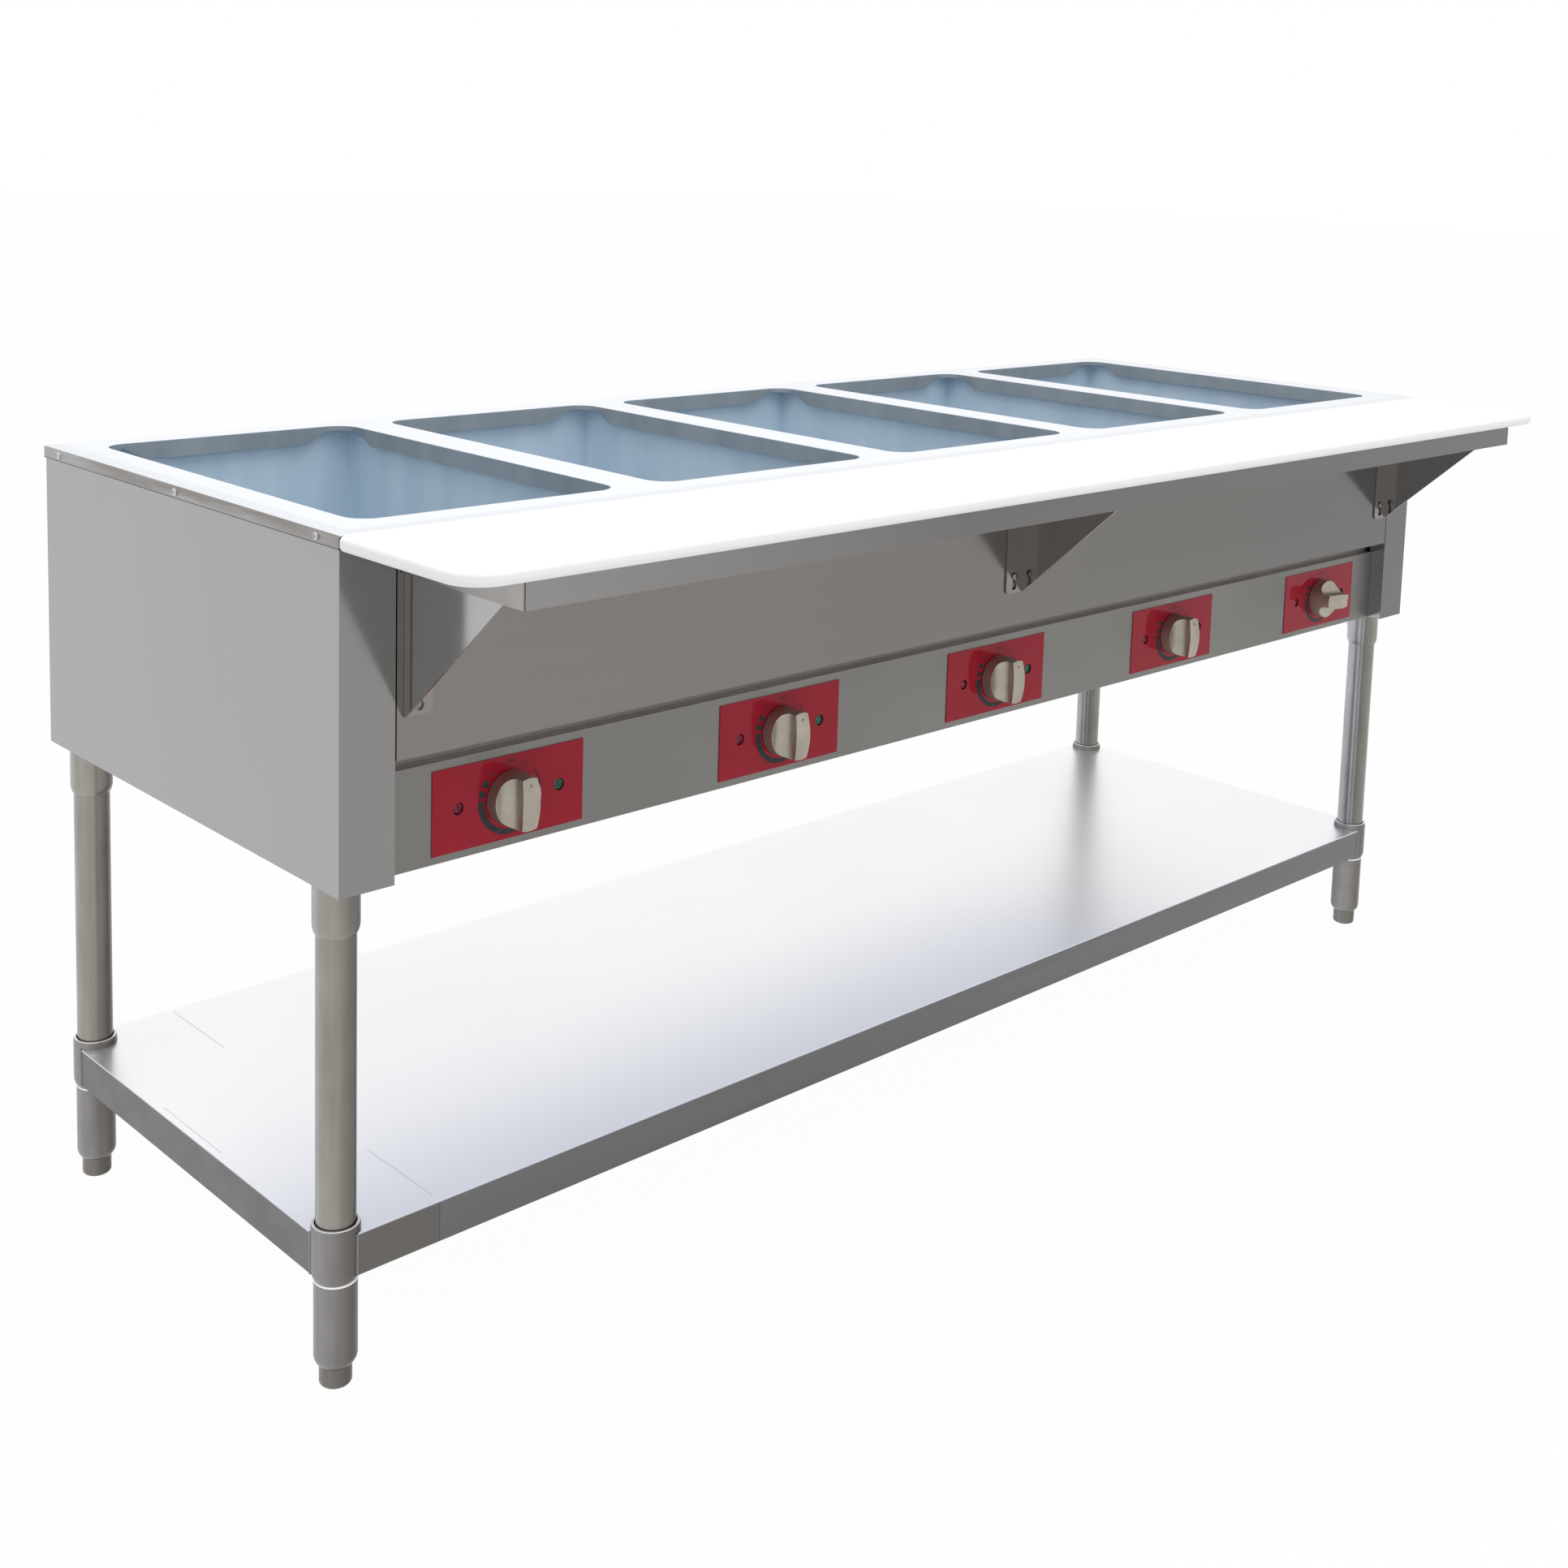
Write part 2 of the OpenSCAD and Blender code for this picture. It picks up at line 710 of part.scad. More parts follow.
module well_liner(i) {
    half_x = liner_width / 2;
    half_y = liner_length / 2;
    wall_x = half_x + liner_sheet;
    wall_y = half_y + liner_sheet;
    color(blue_steel)
        translate([well_x(i), opening_y, 0])
            difference() {
                union() {
                    block([-wall_x, wall_x], [-wall_y, wall_y], [liner_floor, under_z]);
                    block([-wall_x - liner_flange, wall_x + liner_flange],
                          [-wall_y - liner_flange, wall_y + liner_flange],
                          [under_z - liner_sheet, under_z]);
                }
                difference() {
                    block([-half_x, half_x], [-half_y, half_y],
                          [liner_floor + liner_sheet, under_z + over]);
                    liner_rivets(half_x, half_y);
                }
                for (run = terminal_runs)
                    along_y([run * element_run, -wall_y - over, element_z],
                            element_d + 2 * screw_fit, liner_sheet + 2 * over);
            }
}

module liner_rivets(half_x, half_y) {
    for (x = [-1, 1], y = [-1, 1]) {
        along_x([x > 0 ? half_x - rivet_h : -half_x, y * (half_y - rivet_inset), deck_z - rivet_drop],
                rivet_d, rivet_h);
        along_y([x * (half_x - rivet_inset), y > 0 ? half_y - rivet_h : -half_y, deck_z - rivet_drop],
                rivet_d, rivet_h);
    }
}

// Half a torus of heating tube that joins two runs
module tube_bend(x, y, side) {
    outer = element_run / 2 + element_d;
    translate([x, y, element_z])
        intersection() {
            rotate_extrude() translate([element_run / 2, 0]) circle(d = element_d);
            block([-outer, outer], [min(0, side * outer), max(0, side * outer)],
                  [-element_d, element_d]);
        }
}

module heating_element(i) {
    wall = liner_front - liner_sheet;
    color("dimgray")
        translate([well_x(i), 0, 0]) {
            for (run = element_runs) {
                start = abs(run) == outer_run ? wall - seal_h : element_front;
                along_y([run * element_run, start, element_z], element_d, element_back - start);
            }
            for (side = [-1, 1])
                tube_bend(side * element_run, element_back, 1);
            tube_bend(0, element_front, -1);
            for (run = terminal_runs) {
                along_y([run * element_run, liner_front, element_z], seal_d, seal_h);
                hex_along_y([run * element_run, wall - seal_h, element_z], seal_d, seal_h);
                along_y([run * element_run, wall - seal_h - stud_length, element_z], stud_d,
                        stud_length);
            }
        }
}

module element_supports() {
    half = outer_run * element_run + element_d;
    floor_z = liner_floor + liner_sheet;
    third = (element_back - element_front) / 3;
    color("silver")
        for (i = [0 : last_well], y = [element_front + third, element_back - third])
            translate([well_x(i), y, 0])
                difference() {
                    union() {
                        block([-half, half], [0, support_sheet], [floor_z, element_z]);
                        block([-half, half], [0, support_foot], [floor_z, floor_z + support_sheet]);
                    }
                    for (run = element_runs)
                        along_y([run * element_run, -over, element_z], element_d + 2 * screw_fit,
                                support_sheet + 2 * over);
                }
}

module well_insulation() {
    color("khaki")
        at_openings()
            block([-opening_width / 2, opening_width / 2], [-opening_length / 2, opening_length / 2],
                  [liner_floor - insulation_h, liner_floor]);
}

// Controls

module dial_plates() {
    color([0.55, 0.16, 0.2])
        difference() {
            at_dials()
                block([-plate_width / 2, plate_width / 2], [plate_y, panel_y],
                      [-plate_height / 2, plate_height / 2]);
            dial_holes();
        }
}

module lamp_holders() {
    front = plate_y + lens_recess;
    color([0.2, 0.2, 0.2])
        at_dials()
            for (side = lamp_sides)
                difference() {
                    along_y([side * lamp_offset, panel_back, 0], holder_d, holder_length);
                    along_y([side * lamp_offset, panel_back - over, 0], lens_d + 2 * screw_fit,
                            front + lens_h - panel_back + over);
                }
}

module lens(side) {
    along_y([side * lamp_offset, plate_y + lens_recess, 0], lens_d, lens_h);
}

module red_lenses() {
    color([0.4, 0.05, 0.1]) at_dials() lens(-1);
}

module green_lenses() {
    color([0.18, 0.37, 0.31]) at_dials() lens(1);
}

module heat_switch(i) {
    half = switch_width / 2;
    back = panel_back + switch_depth;
    color([0.25, 0.25, 0.27])
        translate([well_x(i), 0, dial_z]) {
            difference() {
                union() {
                    block([-half, half], [panel_back, back], [-half, half]);
                    along_y([0, plate_y - bush_h, 0], bush_d, bush_h + switch_depth);
                    hex_along_y([0, plate_y - bush_nut_h, 0], bush_nut_d, bush_nut_h);
                }
                along_y([0, plate_y - bush_h - over, 0], shaft_d + 2 * shaft_fit,
                        over + bush_h + panel_back - plate_y + switch_bore);
            }
            for (x = [-1, 1], z = [-1, 1])
                block([x * half / 2 - blade_width / 2, x * half / 2 + blade_width / 2],
                      [back, back + blade_length],
                      [z * half / 2 - blade_sheet / 2, z * half / 2 + blade_sheet / 2]);
        }
}

// A knob and its shaft stand along +Z here and are turned to face the front in dial_frame
module dial_frame(i) {
    translate([well_x(i), plate_y - knob_gap, dial_z])
        rotate([90, 0, 0]) rotate([0, 0, -knob_turn(i)]) children();
}

module shaft_section(d, bottom, top) {
    flat = shaft_d / 2 - shaft_flat + (d - shaft_d) / 2;
    difference() {
        post([0, 0, bottom], d, top - bottom);
        block([-d, d], [flat, d], [skirt_hollow - over, top + over]);
    }
}

module control_shaft(i) {
    tail = panel_back - plate_y + switch_bore + knob_gap - over;
    color("silver")
        dial_frame(i) shaft_section(shaft_d, -tail, shaft_tip);
}

module knob(i) {
    color([0.66, 0.64, 0.6])
        dial_frame(i)
            difference() {
                intersection() {
                    cylinder(d1 = knob_d, d2 = knob_front_d, h = knob_h);
                    along_x([-knob_d, 0, crown_z], 2 * crown_radius, 2 * knob_d);
                }
                for (side = [0, 1]) mirror([side, 0, 0]) grip_cutter();
                translate([0, 0, -over])
                    cylinder(d = knob_d - 2 * skirt_wall, h = skirt_hollow + over);
                shaft_section(shaft_d + 2 * shaft_fit, skirt_hollow - over, shaft_tip + lap_gap);
                post([0, dot_offset, dot_z], dot_d, knob_h - dot_z);
            }
}

// Hollow along one side of the grip, tangent to the skirt's face
module grip_cutter() {
    along_y([grip_side, -knob_d, skirt_h + grip_hollow], 2 * grip_hollow, 2 * knob_d);
    block([grip_side, knob_d], [-knob_d, knob_d], [skirt_h, knob_h + over]);
}

// Work shelf

module edge_profile(width) {
    square([width - board_round, board_thickness]);
    translate([0, board_round]) square([width, board_thickness - 2 * board_round]);
    for (z = [board_round, board_thickness - board_round])
        translate([width - board_round, z]) circle(r = board_round);
}

module cutting_board() {
    corner_y = board_front + board_radius;
    straight = end_x - board_radius;
    color([0.96, 0.96, 0.95])
        difference() {
            union() {
                translate([-straight, board_back, shelf_z]) rotate([90, 0, 90])
                    linear_extrude(2 * straight) mirror([1, 0]) edge_profile(board_depth);
                for (side = [0, 1]) mirror([side, 0, 0]) {
                    translate([straight, board_back, shelf_z]) rotate([90, 0, 0])
                        linear_extrude(board_back - corner_y) edge_profile(board_radius);
                    intersection() {
                        translate([straight, corner_y, shelf_z])
                            rotate_extrude() edge_profile(board_radius);
                        block([straight, end_x + over], [board_front - over, corner_y],
                              [shelf_z - over, deck_z + over]);
                    }
                }
            }
            for (x = board_screw_xs)
                post([x, board_screw_y, shelf_z - over], board_screw_d + 2 * screw_fit,
                     board_screw_bite + over + lap_gap);
        }
}

// Plate with a strip under each of its four edges
module work_shelf() {
    lip_top = shelf_under - lap_gap;
    ends = [shelf_front + sheet + lap_gap, board_back - sheet - lap_gap];
    color(warm_steel) {
        difference() {
            block([-shelf_x, shelf_x], [shelf_front, board_back], [shelf_under, shelf_z]);
            for (x = board_screw_xs)
                post([x, board_screw_y, shelf_under - over], board_screw_d + 2 * screw_fit,
                     sheet + 2 * over);
        }
        block([-shelf_x, shelf_x], [shelf_front, shelf_front + sheet], [shelf_z - shelf_lip, lip_top]);
        block([-shelf_x, shelf_x], [board_back - sheet, board_back], [shelf_z - shelf_back_lip, lip_top]);
        for (side = [0, 1])
            mirror([side, 0, 0])
                block([shelf_x - sheet, shelf_x], ends, [shelf_z - shelf_lip, lip_top]);
    }
}

module board_screws() {
    color(steel)
        for (x = board_screw_xs) {
            post([x, board_screw_y, shelf_under], board_screw_d, sheet + board_screw_bite);
            post([x, board_screw_y, shelf_under - board_head_h], board_head_d, board_head_h);
        }
}

// Bracket with its wall flange towards -X, and the outer face of its gusset at x = 0
module bracket() {
    difference() {
        union() {
            translate([-bracket_sheet, 0, 0]) rotate([90, 0, 90]) linear_extrude(bracket_sheet)
                polygon([
                    [bracket_back, bracket_bottom], [bracket_back, flange_top],
                    [gusset_back, flange_top], [gusset_back, shelf_under],
                    [gusset_front, shelf_under], [gusset_front, shelf_under - bracket_nose],
                    [bracket_face, bracket_bottom]
                ]);
            block([-bracket_flange, 0], [bracket_face, bracket_back],
                  [bracket_bottom + bracket_radius, flange_top]);
            block([bracket_radius - bracket_flange, 0], [bracket_face, bracket_back],
                  [bracket_bottom, flange_top]);
            along_y([bracket_radius - bracket_flange, bracket_face, bracket_bottom + bracket_radius],
                    2 * bracket_radius, bracket_sheet);
            block([-bracket_top_flange, 0], [gusset_front, gusset_back],
                  [shelf_under - bracket_sheet, shelf_under]);
        }
        for (z = hang_zs) keyhole(z);
    }
}

// Slot round a hanging screw, with a wider hole below that passes its head
module keyhole(z) {
    start = bracket_face - over;
    depth = bracket_sheet + 2 * over;
    slot = hang_screw_d + 2 * hang_fit;
    along_y([-hang_x, start, z], slot, depth);
    block([-hang_x - slot / 2, slot / 2 - hang_x], [start, start + depth], [z - hang_lift, z]);
    along_y([-hang_x, start, z - hang_lift], hang_head_d + 2 * hang_fit, depth);
}

module left_bracket() {
    color(warm_steel) mirror([1, 0, 0]) translate([bracket_x, 0, 0]) bracket();
}

module middle_bracket() {
    color(warm_steel) translate([middle_offset, 0, 0]) bracket();
}

module right_bracket() {
    color(warm_steel) translate([bracket_x, 0, 0]) bracket();
}

module hanging_screws() {
    head_back = bracket_face - lap_gap;
    nut_front = skin_front + sheet;
    color(steel)
        for (x = hang_xs, z = hang_zs) {
            along_y([x, head_back, z], hang_screw_d, nut_front - head_back + hang_head_h);
            along_y([x, head_back - hang_head_h, z], hang_head_d, hang_head_h);
            hex_along_y([x, nut_front, z], hang_head_d, hang_head_h);
        }
}

// Legs, feet and undershelf

module leg_sockets() {
    plate_inner = column_x + sheet + lap_gap;
    plate_half = socket_plate_length / 2;
    top = base_z + sheet;
    color(steel) {
        for (side = [0, 1], y = leg_ys) mirror([side, 0, 0])
            block([plate_inner, inner_x], [y - min(plate_half, leg_setback - 2 * skin), y + plate_half],
                  [top, top + socket_plate]);
        difference() {
            at_legs()
                shouldered_tube(socket_d, socket_bore + 2 * shoulder_wall, socket_bore,
                                base_z - socket_length, top);
            clamp_shapes(clamp_d + 2 * screw_fit);
        }
    }
}

// Clamping screws at the back of the sockets, where they bear on the tubes
module clamp_shapes(d) {
    reach = socket_d / 2 + clamp_stand - leg_d / 2;
    at_legs() along_y([0, leg_d / 2, base_z - clamp_drop], d, reach);
}

module clamp_screws() {
    color("dimgray") clamp_shapes(clamp_d);
}

module leg_tubes() {
    height = base_z + sheet - leg_bottom;
    color(warm_steel)
        at_legs()
            difference() {
                post([0, 0, leg_bottom], leg_d, height);
                post([0, 0, leg_bottom - over], leg_d - 2 * leg_wall, height + 2 * over);
            }
}

module leg_sleeves() {
    top = collar_bottom - lap_gap;
    color(steel)
        at_legs()
            difference() {
                union() {
                    shouldered_tube(sleeve_d, sleeve_end_d, stem_bore, sleeve_bottom, top - neck_h);
                    post([0, 0, top - neck_h], neck_d, neck_h);
                }
                post([0, 0, leg_bottom], leg_d + 2 * leg_fit, top - leg_bottom + over);
            }
}

module foot(place) {
    radius = foot_d / 2;
    color([0.35, 0.35, 0.36])
        translate([place[0], place[1], 0]) {
            rotate_extrude() {
                square([radius - foot_round, foot_h]);
                translate([0, foot_round]) square([radius, foot_h - foot_round]);
                translate([radius - foot_round, foot_round]) circle(r = foot_round);
            }
            post([0, 0, foot_h], stem_d, stem_length);
        }
}

module undershelf() {
    color(steel)
        difference() {
            union() {
                tray([-undershelf_x, undershelf_x], [undershelf_front, undershelf_back],
                     undershelf_height, undershelf_lip, sheet);
                undershelf_hems();
            }
            for (place = leg_places) {
                post([place[0], place[1], 0], collar_d + 2 * lap_gap, undershelf_height + over);
                corner_notch(place);
            }
        }
}

module undershelf_hems() {
    bottom = undershelf_height - undershelf_lip;
    difference() {
        block([-undershelf_x, undershelf_x], [undershelf_front, undershelf_back],
              [bottom, bottom + sheet]);
        block([undershelf_hem - undershelf_x, undershelf_x - undershelf_hem],
              [undershelf_front + undershelf_hem, undershelf_back - undershelf_hem],
              [bottom - over, bottom + sheet + over]);
    }
}

// Square cut that takes the undershelf's corner away outside a leg
module corner_notch(place) {
    reach = collar_d;
    x = place[0] < 0 ? [place[0] - reach, place[0]] : [place[0], place[0] + reach];
    y = place[1] < 0 ? [place[1] - reach, place[1]] : [place[1], place[1] + reach];
    block(x, y, [0, undershelf_height + over]);
}

module shelf_collars() {
    color(steel)
        at_legs()
            shouldered_tube(collar_d, collar_bore + 2 * shoulder_wall, collar_bore, collar_bottom,
                            undershelf_height + collar_rise, rim_in);
}

// Channel welded under the middle of the undershelf
module shelf_channel() {
    half = undershelf_x - undershelf_hem - lap_gap;
    middle = (undershelf_front + undershelf_back) / 2;
    top = undershelf_height - sheet;
    color(steel)
        translate([0, middle, 0])
            difference() {
                block([-half, half], [-channel_width / 2, channel_width / 2], [top - channel_depth, top]);
                block([-half - over, half + over],
                      [sheet - channel_width / 2, channel_width / 2 - sheet],
                      [top - channel_depth + sheet, top + over]);
            }
}

// Supply

module terminal_block() {
    color([0.9, 0.88, 0.8])
        block([terminal_x - terminal_length / 2, terminal_x + terminal_length / 2],
              [trunk_y - terminal_width / 2, trunk_y + terminal_width / 2],
              [pan_z + sheet, pan_z + sheet + terminal_height]);
}

module wiring_trunk() {
    start = well_x(0);
    blade_end = panel_back + switch_depth + blade_length;
    color([0.15, 0.15, 0.15]) {
        along_x([start, trunk_y, trunk_z], trunk_d, terminal_x - terminal_length / 2 - start);
        for (i = [0 : last_well]) {
            post([well_x(i), trunk_y, trunk_z], riser_d, dial_z - trunk_z);
            translate([well_x(i), trunk_y, dial_z]) sphere(d = riser_d);
            along_y([well_x(i), blade_end, dial_z], riser_d, trunk_y - blade_end);
        }
    }
}

module cord_gland() {
    color([0.12, 0.12, 0.12])
        translate([terminal_x, 0, gland_z])
            difference() {
                union() {
                    along_y([0, gland_start, 0], gland_d, gland_length);
                    along_y([0, back_inner + sheet, 0], gland_flange_d, gland_flange_h);
                    hex_along_y([0, back_inner - gland_nut_h, 0], gland_nut_d, gland_nut_h);
                }
                along_y([0, gland_start - over, 0], gland_bore, gland_length + 2 * over);
            }
}

top_sheet();
left_end_panel();
right_end_panel();
back_panel();
front_fascia();
control_panel();
bottom_pan();
for (i = [0 : last_well]) {
    well_liner(i);
    heating_element(i);
    heat_switch(i);
    control_shaft(i);
    knob(i);
}
element_supports();
well_insulation();
dial_plates();
lamp_holders();
red_lenses();
green_lenses();
work_shelf();
cutting_board();
board_screws();
left_bracket();
middle_bracket();
right_bracket();
hanging_screws();
deck_screws();
leg_sockets();
clamp_screws();
leg_tubes();
leg_sleeves();
foot(leg_places[0]);  // foot_front_left
foot(leg_places[1]);  // foot_front_right
foot(leg_places[2]);  // foot_back_left
foot(leg_places[3]);  // foot_back_right
undershelf();
shelf_collars();
shelf_channel();
terminal_block();
wiring_trunk();
cord_gland();
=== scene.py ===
"""Looks of the five-well steam table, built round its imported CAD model."""
import math

import bmesh
import bpy
from mathutils import Matrix, Vector


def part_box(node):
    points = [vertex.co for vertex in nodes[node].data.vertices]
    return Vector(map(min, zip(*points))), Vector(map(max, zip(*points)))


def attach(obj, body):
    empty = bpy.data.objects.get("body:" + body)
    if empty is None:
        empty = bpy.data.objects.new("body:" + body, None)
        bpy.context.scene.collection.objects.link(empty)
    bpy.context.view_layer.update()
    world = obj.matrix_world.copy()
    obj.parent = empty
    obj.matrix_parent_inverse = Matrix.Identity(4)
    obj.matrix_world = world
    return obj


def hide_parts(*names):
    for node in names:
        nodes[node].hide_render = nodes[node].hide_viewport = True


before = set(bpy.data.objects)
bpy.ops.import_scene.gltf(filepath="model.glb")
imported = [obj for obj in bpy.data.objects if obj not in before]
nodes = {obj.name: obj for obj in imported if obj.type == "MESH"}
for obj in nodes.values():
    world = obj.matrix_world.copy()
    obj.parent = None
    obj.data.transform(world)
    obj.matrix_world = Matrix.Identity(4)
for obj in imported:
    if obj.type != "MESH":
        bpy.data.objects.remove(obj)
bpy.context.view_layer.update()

WELLS = range(1, 6)
MM = 0.001

# Camera, fitted to the photograph's edges

IMAGE_SIDE = 1932
FOCAL_PIXELS = 2470.9
SENSOR = 36.0
CAMERA_PLACE = (-1.8144, -1.7186, 1.1767)
CAMERA_YAW = 43.923
CAMERA_PITCH = -7.1046
CAMERA_ROLL = 1.7403
CAMERA_SHIFT = (-0.0124, -0.25)


def make_camera():
    yaw, pitch, roll = (math.radians(a) for a in (CAMERA_YAW, CAMERA_PITCH, CAMERA_ROLL))
    forward = Vector((math.sin(yaw) * math.cos(pitch), math.cos(yaw) * math.cos(pitch), math.sin(pitch)))
    level = Vector((math.cos(yaw), -math.sin(yaw), 0.0))
    upright = level.cross(forward)
    right = level * math.cos(roll) + upright * math.sin(roll)
    up = upright * math.cos(roll) - level * math.sin(roll)
    data = bpy.data.cameras.new("camera")
    data.sensor_width = SENSOR
    data.lens = FOCAL_PIXELS * SENSOR / IMAGE_SIDE
    data.shift_x, data.shift_y = CAMERA_SHIFT
    camera = bpy.data.objects.new("camera", data)
    turn = Matrix((right, up, -forward)).transposed().to_4x4()
    camera.matrix_world = Matrix.Translation(CAMERA_PLACE) @ turn
    bpy.context.scene.collection.objects.link(camera)
    bpy.context.scene.camera = camera


# Shader helpers

# The part of a noise's range that carries it from one tone to the other, from a soft change to a hard one
SOFT = (0.3, 0.7)
CLOUDY = (0.35, 0.65)
WORN = (0.35, 0.7)
SPARSE = (0.4, 0.7)
HARD = (0.42, 0.6)

# Features to a metre in brushed steel, along its grain and across it
GRAIN_LONG = 6.0
GRAIN_FINE = 900.0
STREAK_LONG = 0.9
STREAK_WIDE = 26.0

SKIN = 0.3 * MM
LEFT_RIGHT = (1.0, 0.0, 0.0)
FRONT = (0.0, -1.0, 0.0)
FACING = (0.6, 0.8)


def rgb(*levels):
    """A photo colour in 0 to 255 as a linear RGBA colour."""
    out = []
    for level in levels:
        share = level / 255
        out.append(share / 12.92 if share <= 0.04045 else ((share + 0.055) / 1.055) ** 2.4)
    return (*out, 1.0)


def shade(colour, factor):
    return (*(min(1.0, c * factor) for c in colour[:3]), 1.0)


def even(scale):
    return (scale, scale, scale)


def along(letter, long, across):
    return tuple(long if axis == letter else across for axis in "XYZ")


class Shader:
    """A material's node tree, with short names for the nodes that the looks below use."""

    def __init__(self, name):
        self.material = bpy.data.materials.new(name)
        self.material.use_nodes = True
        self.tree = self.material.node_tree
        self.bsdf = self.tree.nodes["Principled BSDF"]

    def add(self, kind, **inputs):
        node = self.tree.nodes.new(kind)
        for name, value in inputs.items():
            self.put(node.inputs[name.replace("_", " ")], value)
        return node

    def put(self, socket, value):
        if isinstance(value, bpy.types.NodeSocket):
            self.tree.links.new(value, socket)
        else:
            socket.default_value = value

    def set(self, **inputs):
        for name, value in inputs.items():
            self.put(self.bsdf.inputs[name.replace("_", " ")], value)

    def place(self):
        return self.add("ShaderNodeTexCoord").outputs["Object"]

    def axis(self, letter):
        return self.add("ShaderNodeSeparateXYZ", Vector=self.place()).outputs[letter]

    def towards(self, direction):
        """How far the surface faces in a direction of the object, from -1 to 1."""
        node = self.add("ShaderNodeVectorMath")
        node.operation = "DOT_PRODUCT"
        self.put(node.inputs[0], self.add("ShaderNodeTexCoord").outputs["Normal"])
        node.inputs[1].default_value = direction
        return node.outputs["Value"]

    def calculate(self, how, *values):
        node = self.add("ShaderNodeMath")
        node.operation = how
        for socket, value in zip(node.inputs, values):
            self.put(socket, value)
        return node.outputs[0]

    def absolute(self, value):
        return self.calculate("ABSOLUTE", value)

    def both(self, first, second):
        """1 where two masks are both 1."""
        return self.calculate("MULTIPLY", first, second)

    def span(self, value, low, high, out_low=0.0, out_high=1.0):
        """Carries the range from low to high into another range, and stops at its ends."""
        node = self.add("ShaderNodeMapRange", Value=value)
        for i, number in enumerate((low, high, out_low, out_high), start=1):
            node.inputs[i].default_value = number
        return node.outputs["Result"]

    def top_face(self, height):
        """1 on the faces at a height, and 0 below them."""
        return self.span(self.axis("Z"), height - 2 * SKIN, height - SKIN)

    def noise(self, scales, detail=3.0):
        """Noise with about as many features to a metre as scales give for each axis."""
        spot = self.add("ShaderNodeMapping", Vector=self.place(), Scale=scales).outputs["Vector"]
        return self.add("ShaderNodeTexNoise", Vector=spot, Scale=1.0, Detail=detail).outputs["Fac"]

    def streaks(self, letter):
        return self.noise(along(letter, STREAK_LONG, STREAK_WIDE), detail=4.0)

    def vary(self, noise, low, high, part=SOFT):
        """Carries a part of the noise's range into the range from low to high."""
        return self.span(noise, *part, low, high)

    def mix(self, share, first, second, how="MIX"):
        node = self.tree.nodes.new("ShaderNodeMix")
        node.data_type = "RGBA"
        node.blend_type = how
        self.put(node.inputs[0], share)
        self.put(node.inputs[6], first)
        self.put(node.inputs[7], second)
        return node.outputs[2]

    def two_tones(self, noise, first, second, part=CLOUDY):
        return self.mix(self.span(noise, *part), first, second)

    def lit(self, colour, light):
        """A colour multiplied by a brightness."""
        grey = self.add("ShaderNodeCombineColor", Red=light, Green=light, Blue=light).outputs[0]
        return self.mix(1.0, colour, grey, "MULTIPLY")

    def ramp(self, value, tones, level):
        """A colour that runs through tones, given as place and photo colour, as value goes from 0 to 1."""
        node = self.add("ShaderNodeValToRGB", Fac=value)
        stops = node.color_ramp.elements
        while len(stops) < len(tones):
            stops.new(0.5)
        for stop, (place, tone) in zip(stops, tones):
            stop.position = place
            stop.color = shade(rgb(*tone), level)
        return node.outputs["Color"]

    def bump(self, height, strength, depth):
        node = self.add("ShaderNodeBump", Height=height, Strength=strength, Distance=depth)
        self.put(self.bsdf.inputs["Normal"], node.outputs["Normal"])

    def grain(self, letter, strength, depth):
        """Fine brush lines along an axis."""
        self.bump(self.noise(along(letter, GRAIN_LONG, GRAIN_FINE), detail=2.0), strength, depth)


# Brushed sheet

FRONT_BLUR = 0.2 * MM
RETURN_START = (1.2 * MM, 1.5 * MM)


def brushed(name, colour, grain="X", roughness=0.34, streak=0.10, metallic=0.92, repaint=None):
    """Brushed steel. repaint, one of the functions below, gives part of it another tone."""
    s = Shader(name)
    base = repaint(s, colour) if repaint else colour
    light = s.vary(s.streaks(grain), 1.0 - streak, 1.0 + streak)
    marks = s.noise(even(3.0), detail=4.0)
    s.set(Base_Color=s.lit(base, light), Metallic=metallic,
          Roughness=s.vary(marks, roughness - 0.05, roughness + 0.06, WORN))
    s.grain(grain, strength=0.06, depth=0.05 * MM)
    return s.material


def in_front_of(depth, tone):
    """Another tone on the faces in front of a depth, used for painted shade on the columns' front faces."""
    def repaint(s, base):
        return s.mix(s.span(s.axis("Y"), depth, depth + FRONT_BLUR, 1.0, 0.0), base, tone)
    return repaint


def fading(start, stop, tone):
    """A change to another tone from one X to a second one, used for painted shade along the fascia."""
    def repaint(s, base):
        return s.mix(s.span(s.axis("X"), start, stop), base, tone)
    return repaint


def on_return(height, depth, tone):
    """Another tone on the top face that folds back from a front at a depth, used for painted light on the
    control panel's return.
    """
    def repaint(s, base):
        behind = s.span(s.axis("Y"), depth + RETURN_START[0], depth + RETURN_START[1])
        return s.mix(s.both(s.top_face(height), behind), base, tone)
    return repaint


# Legs' steel

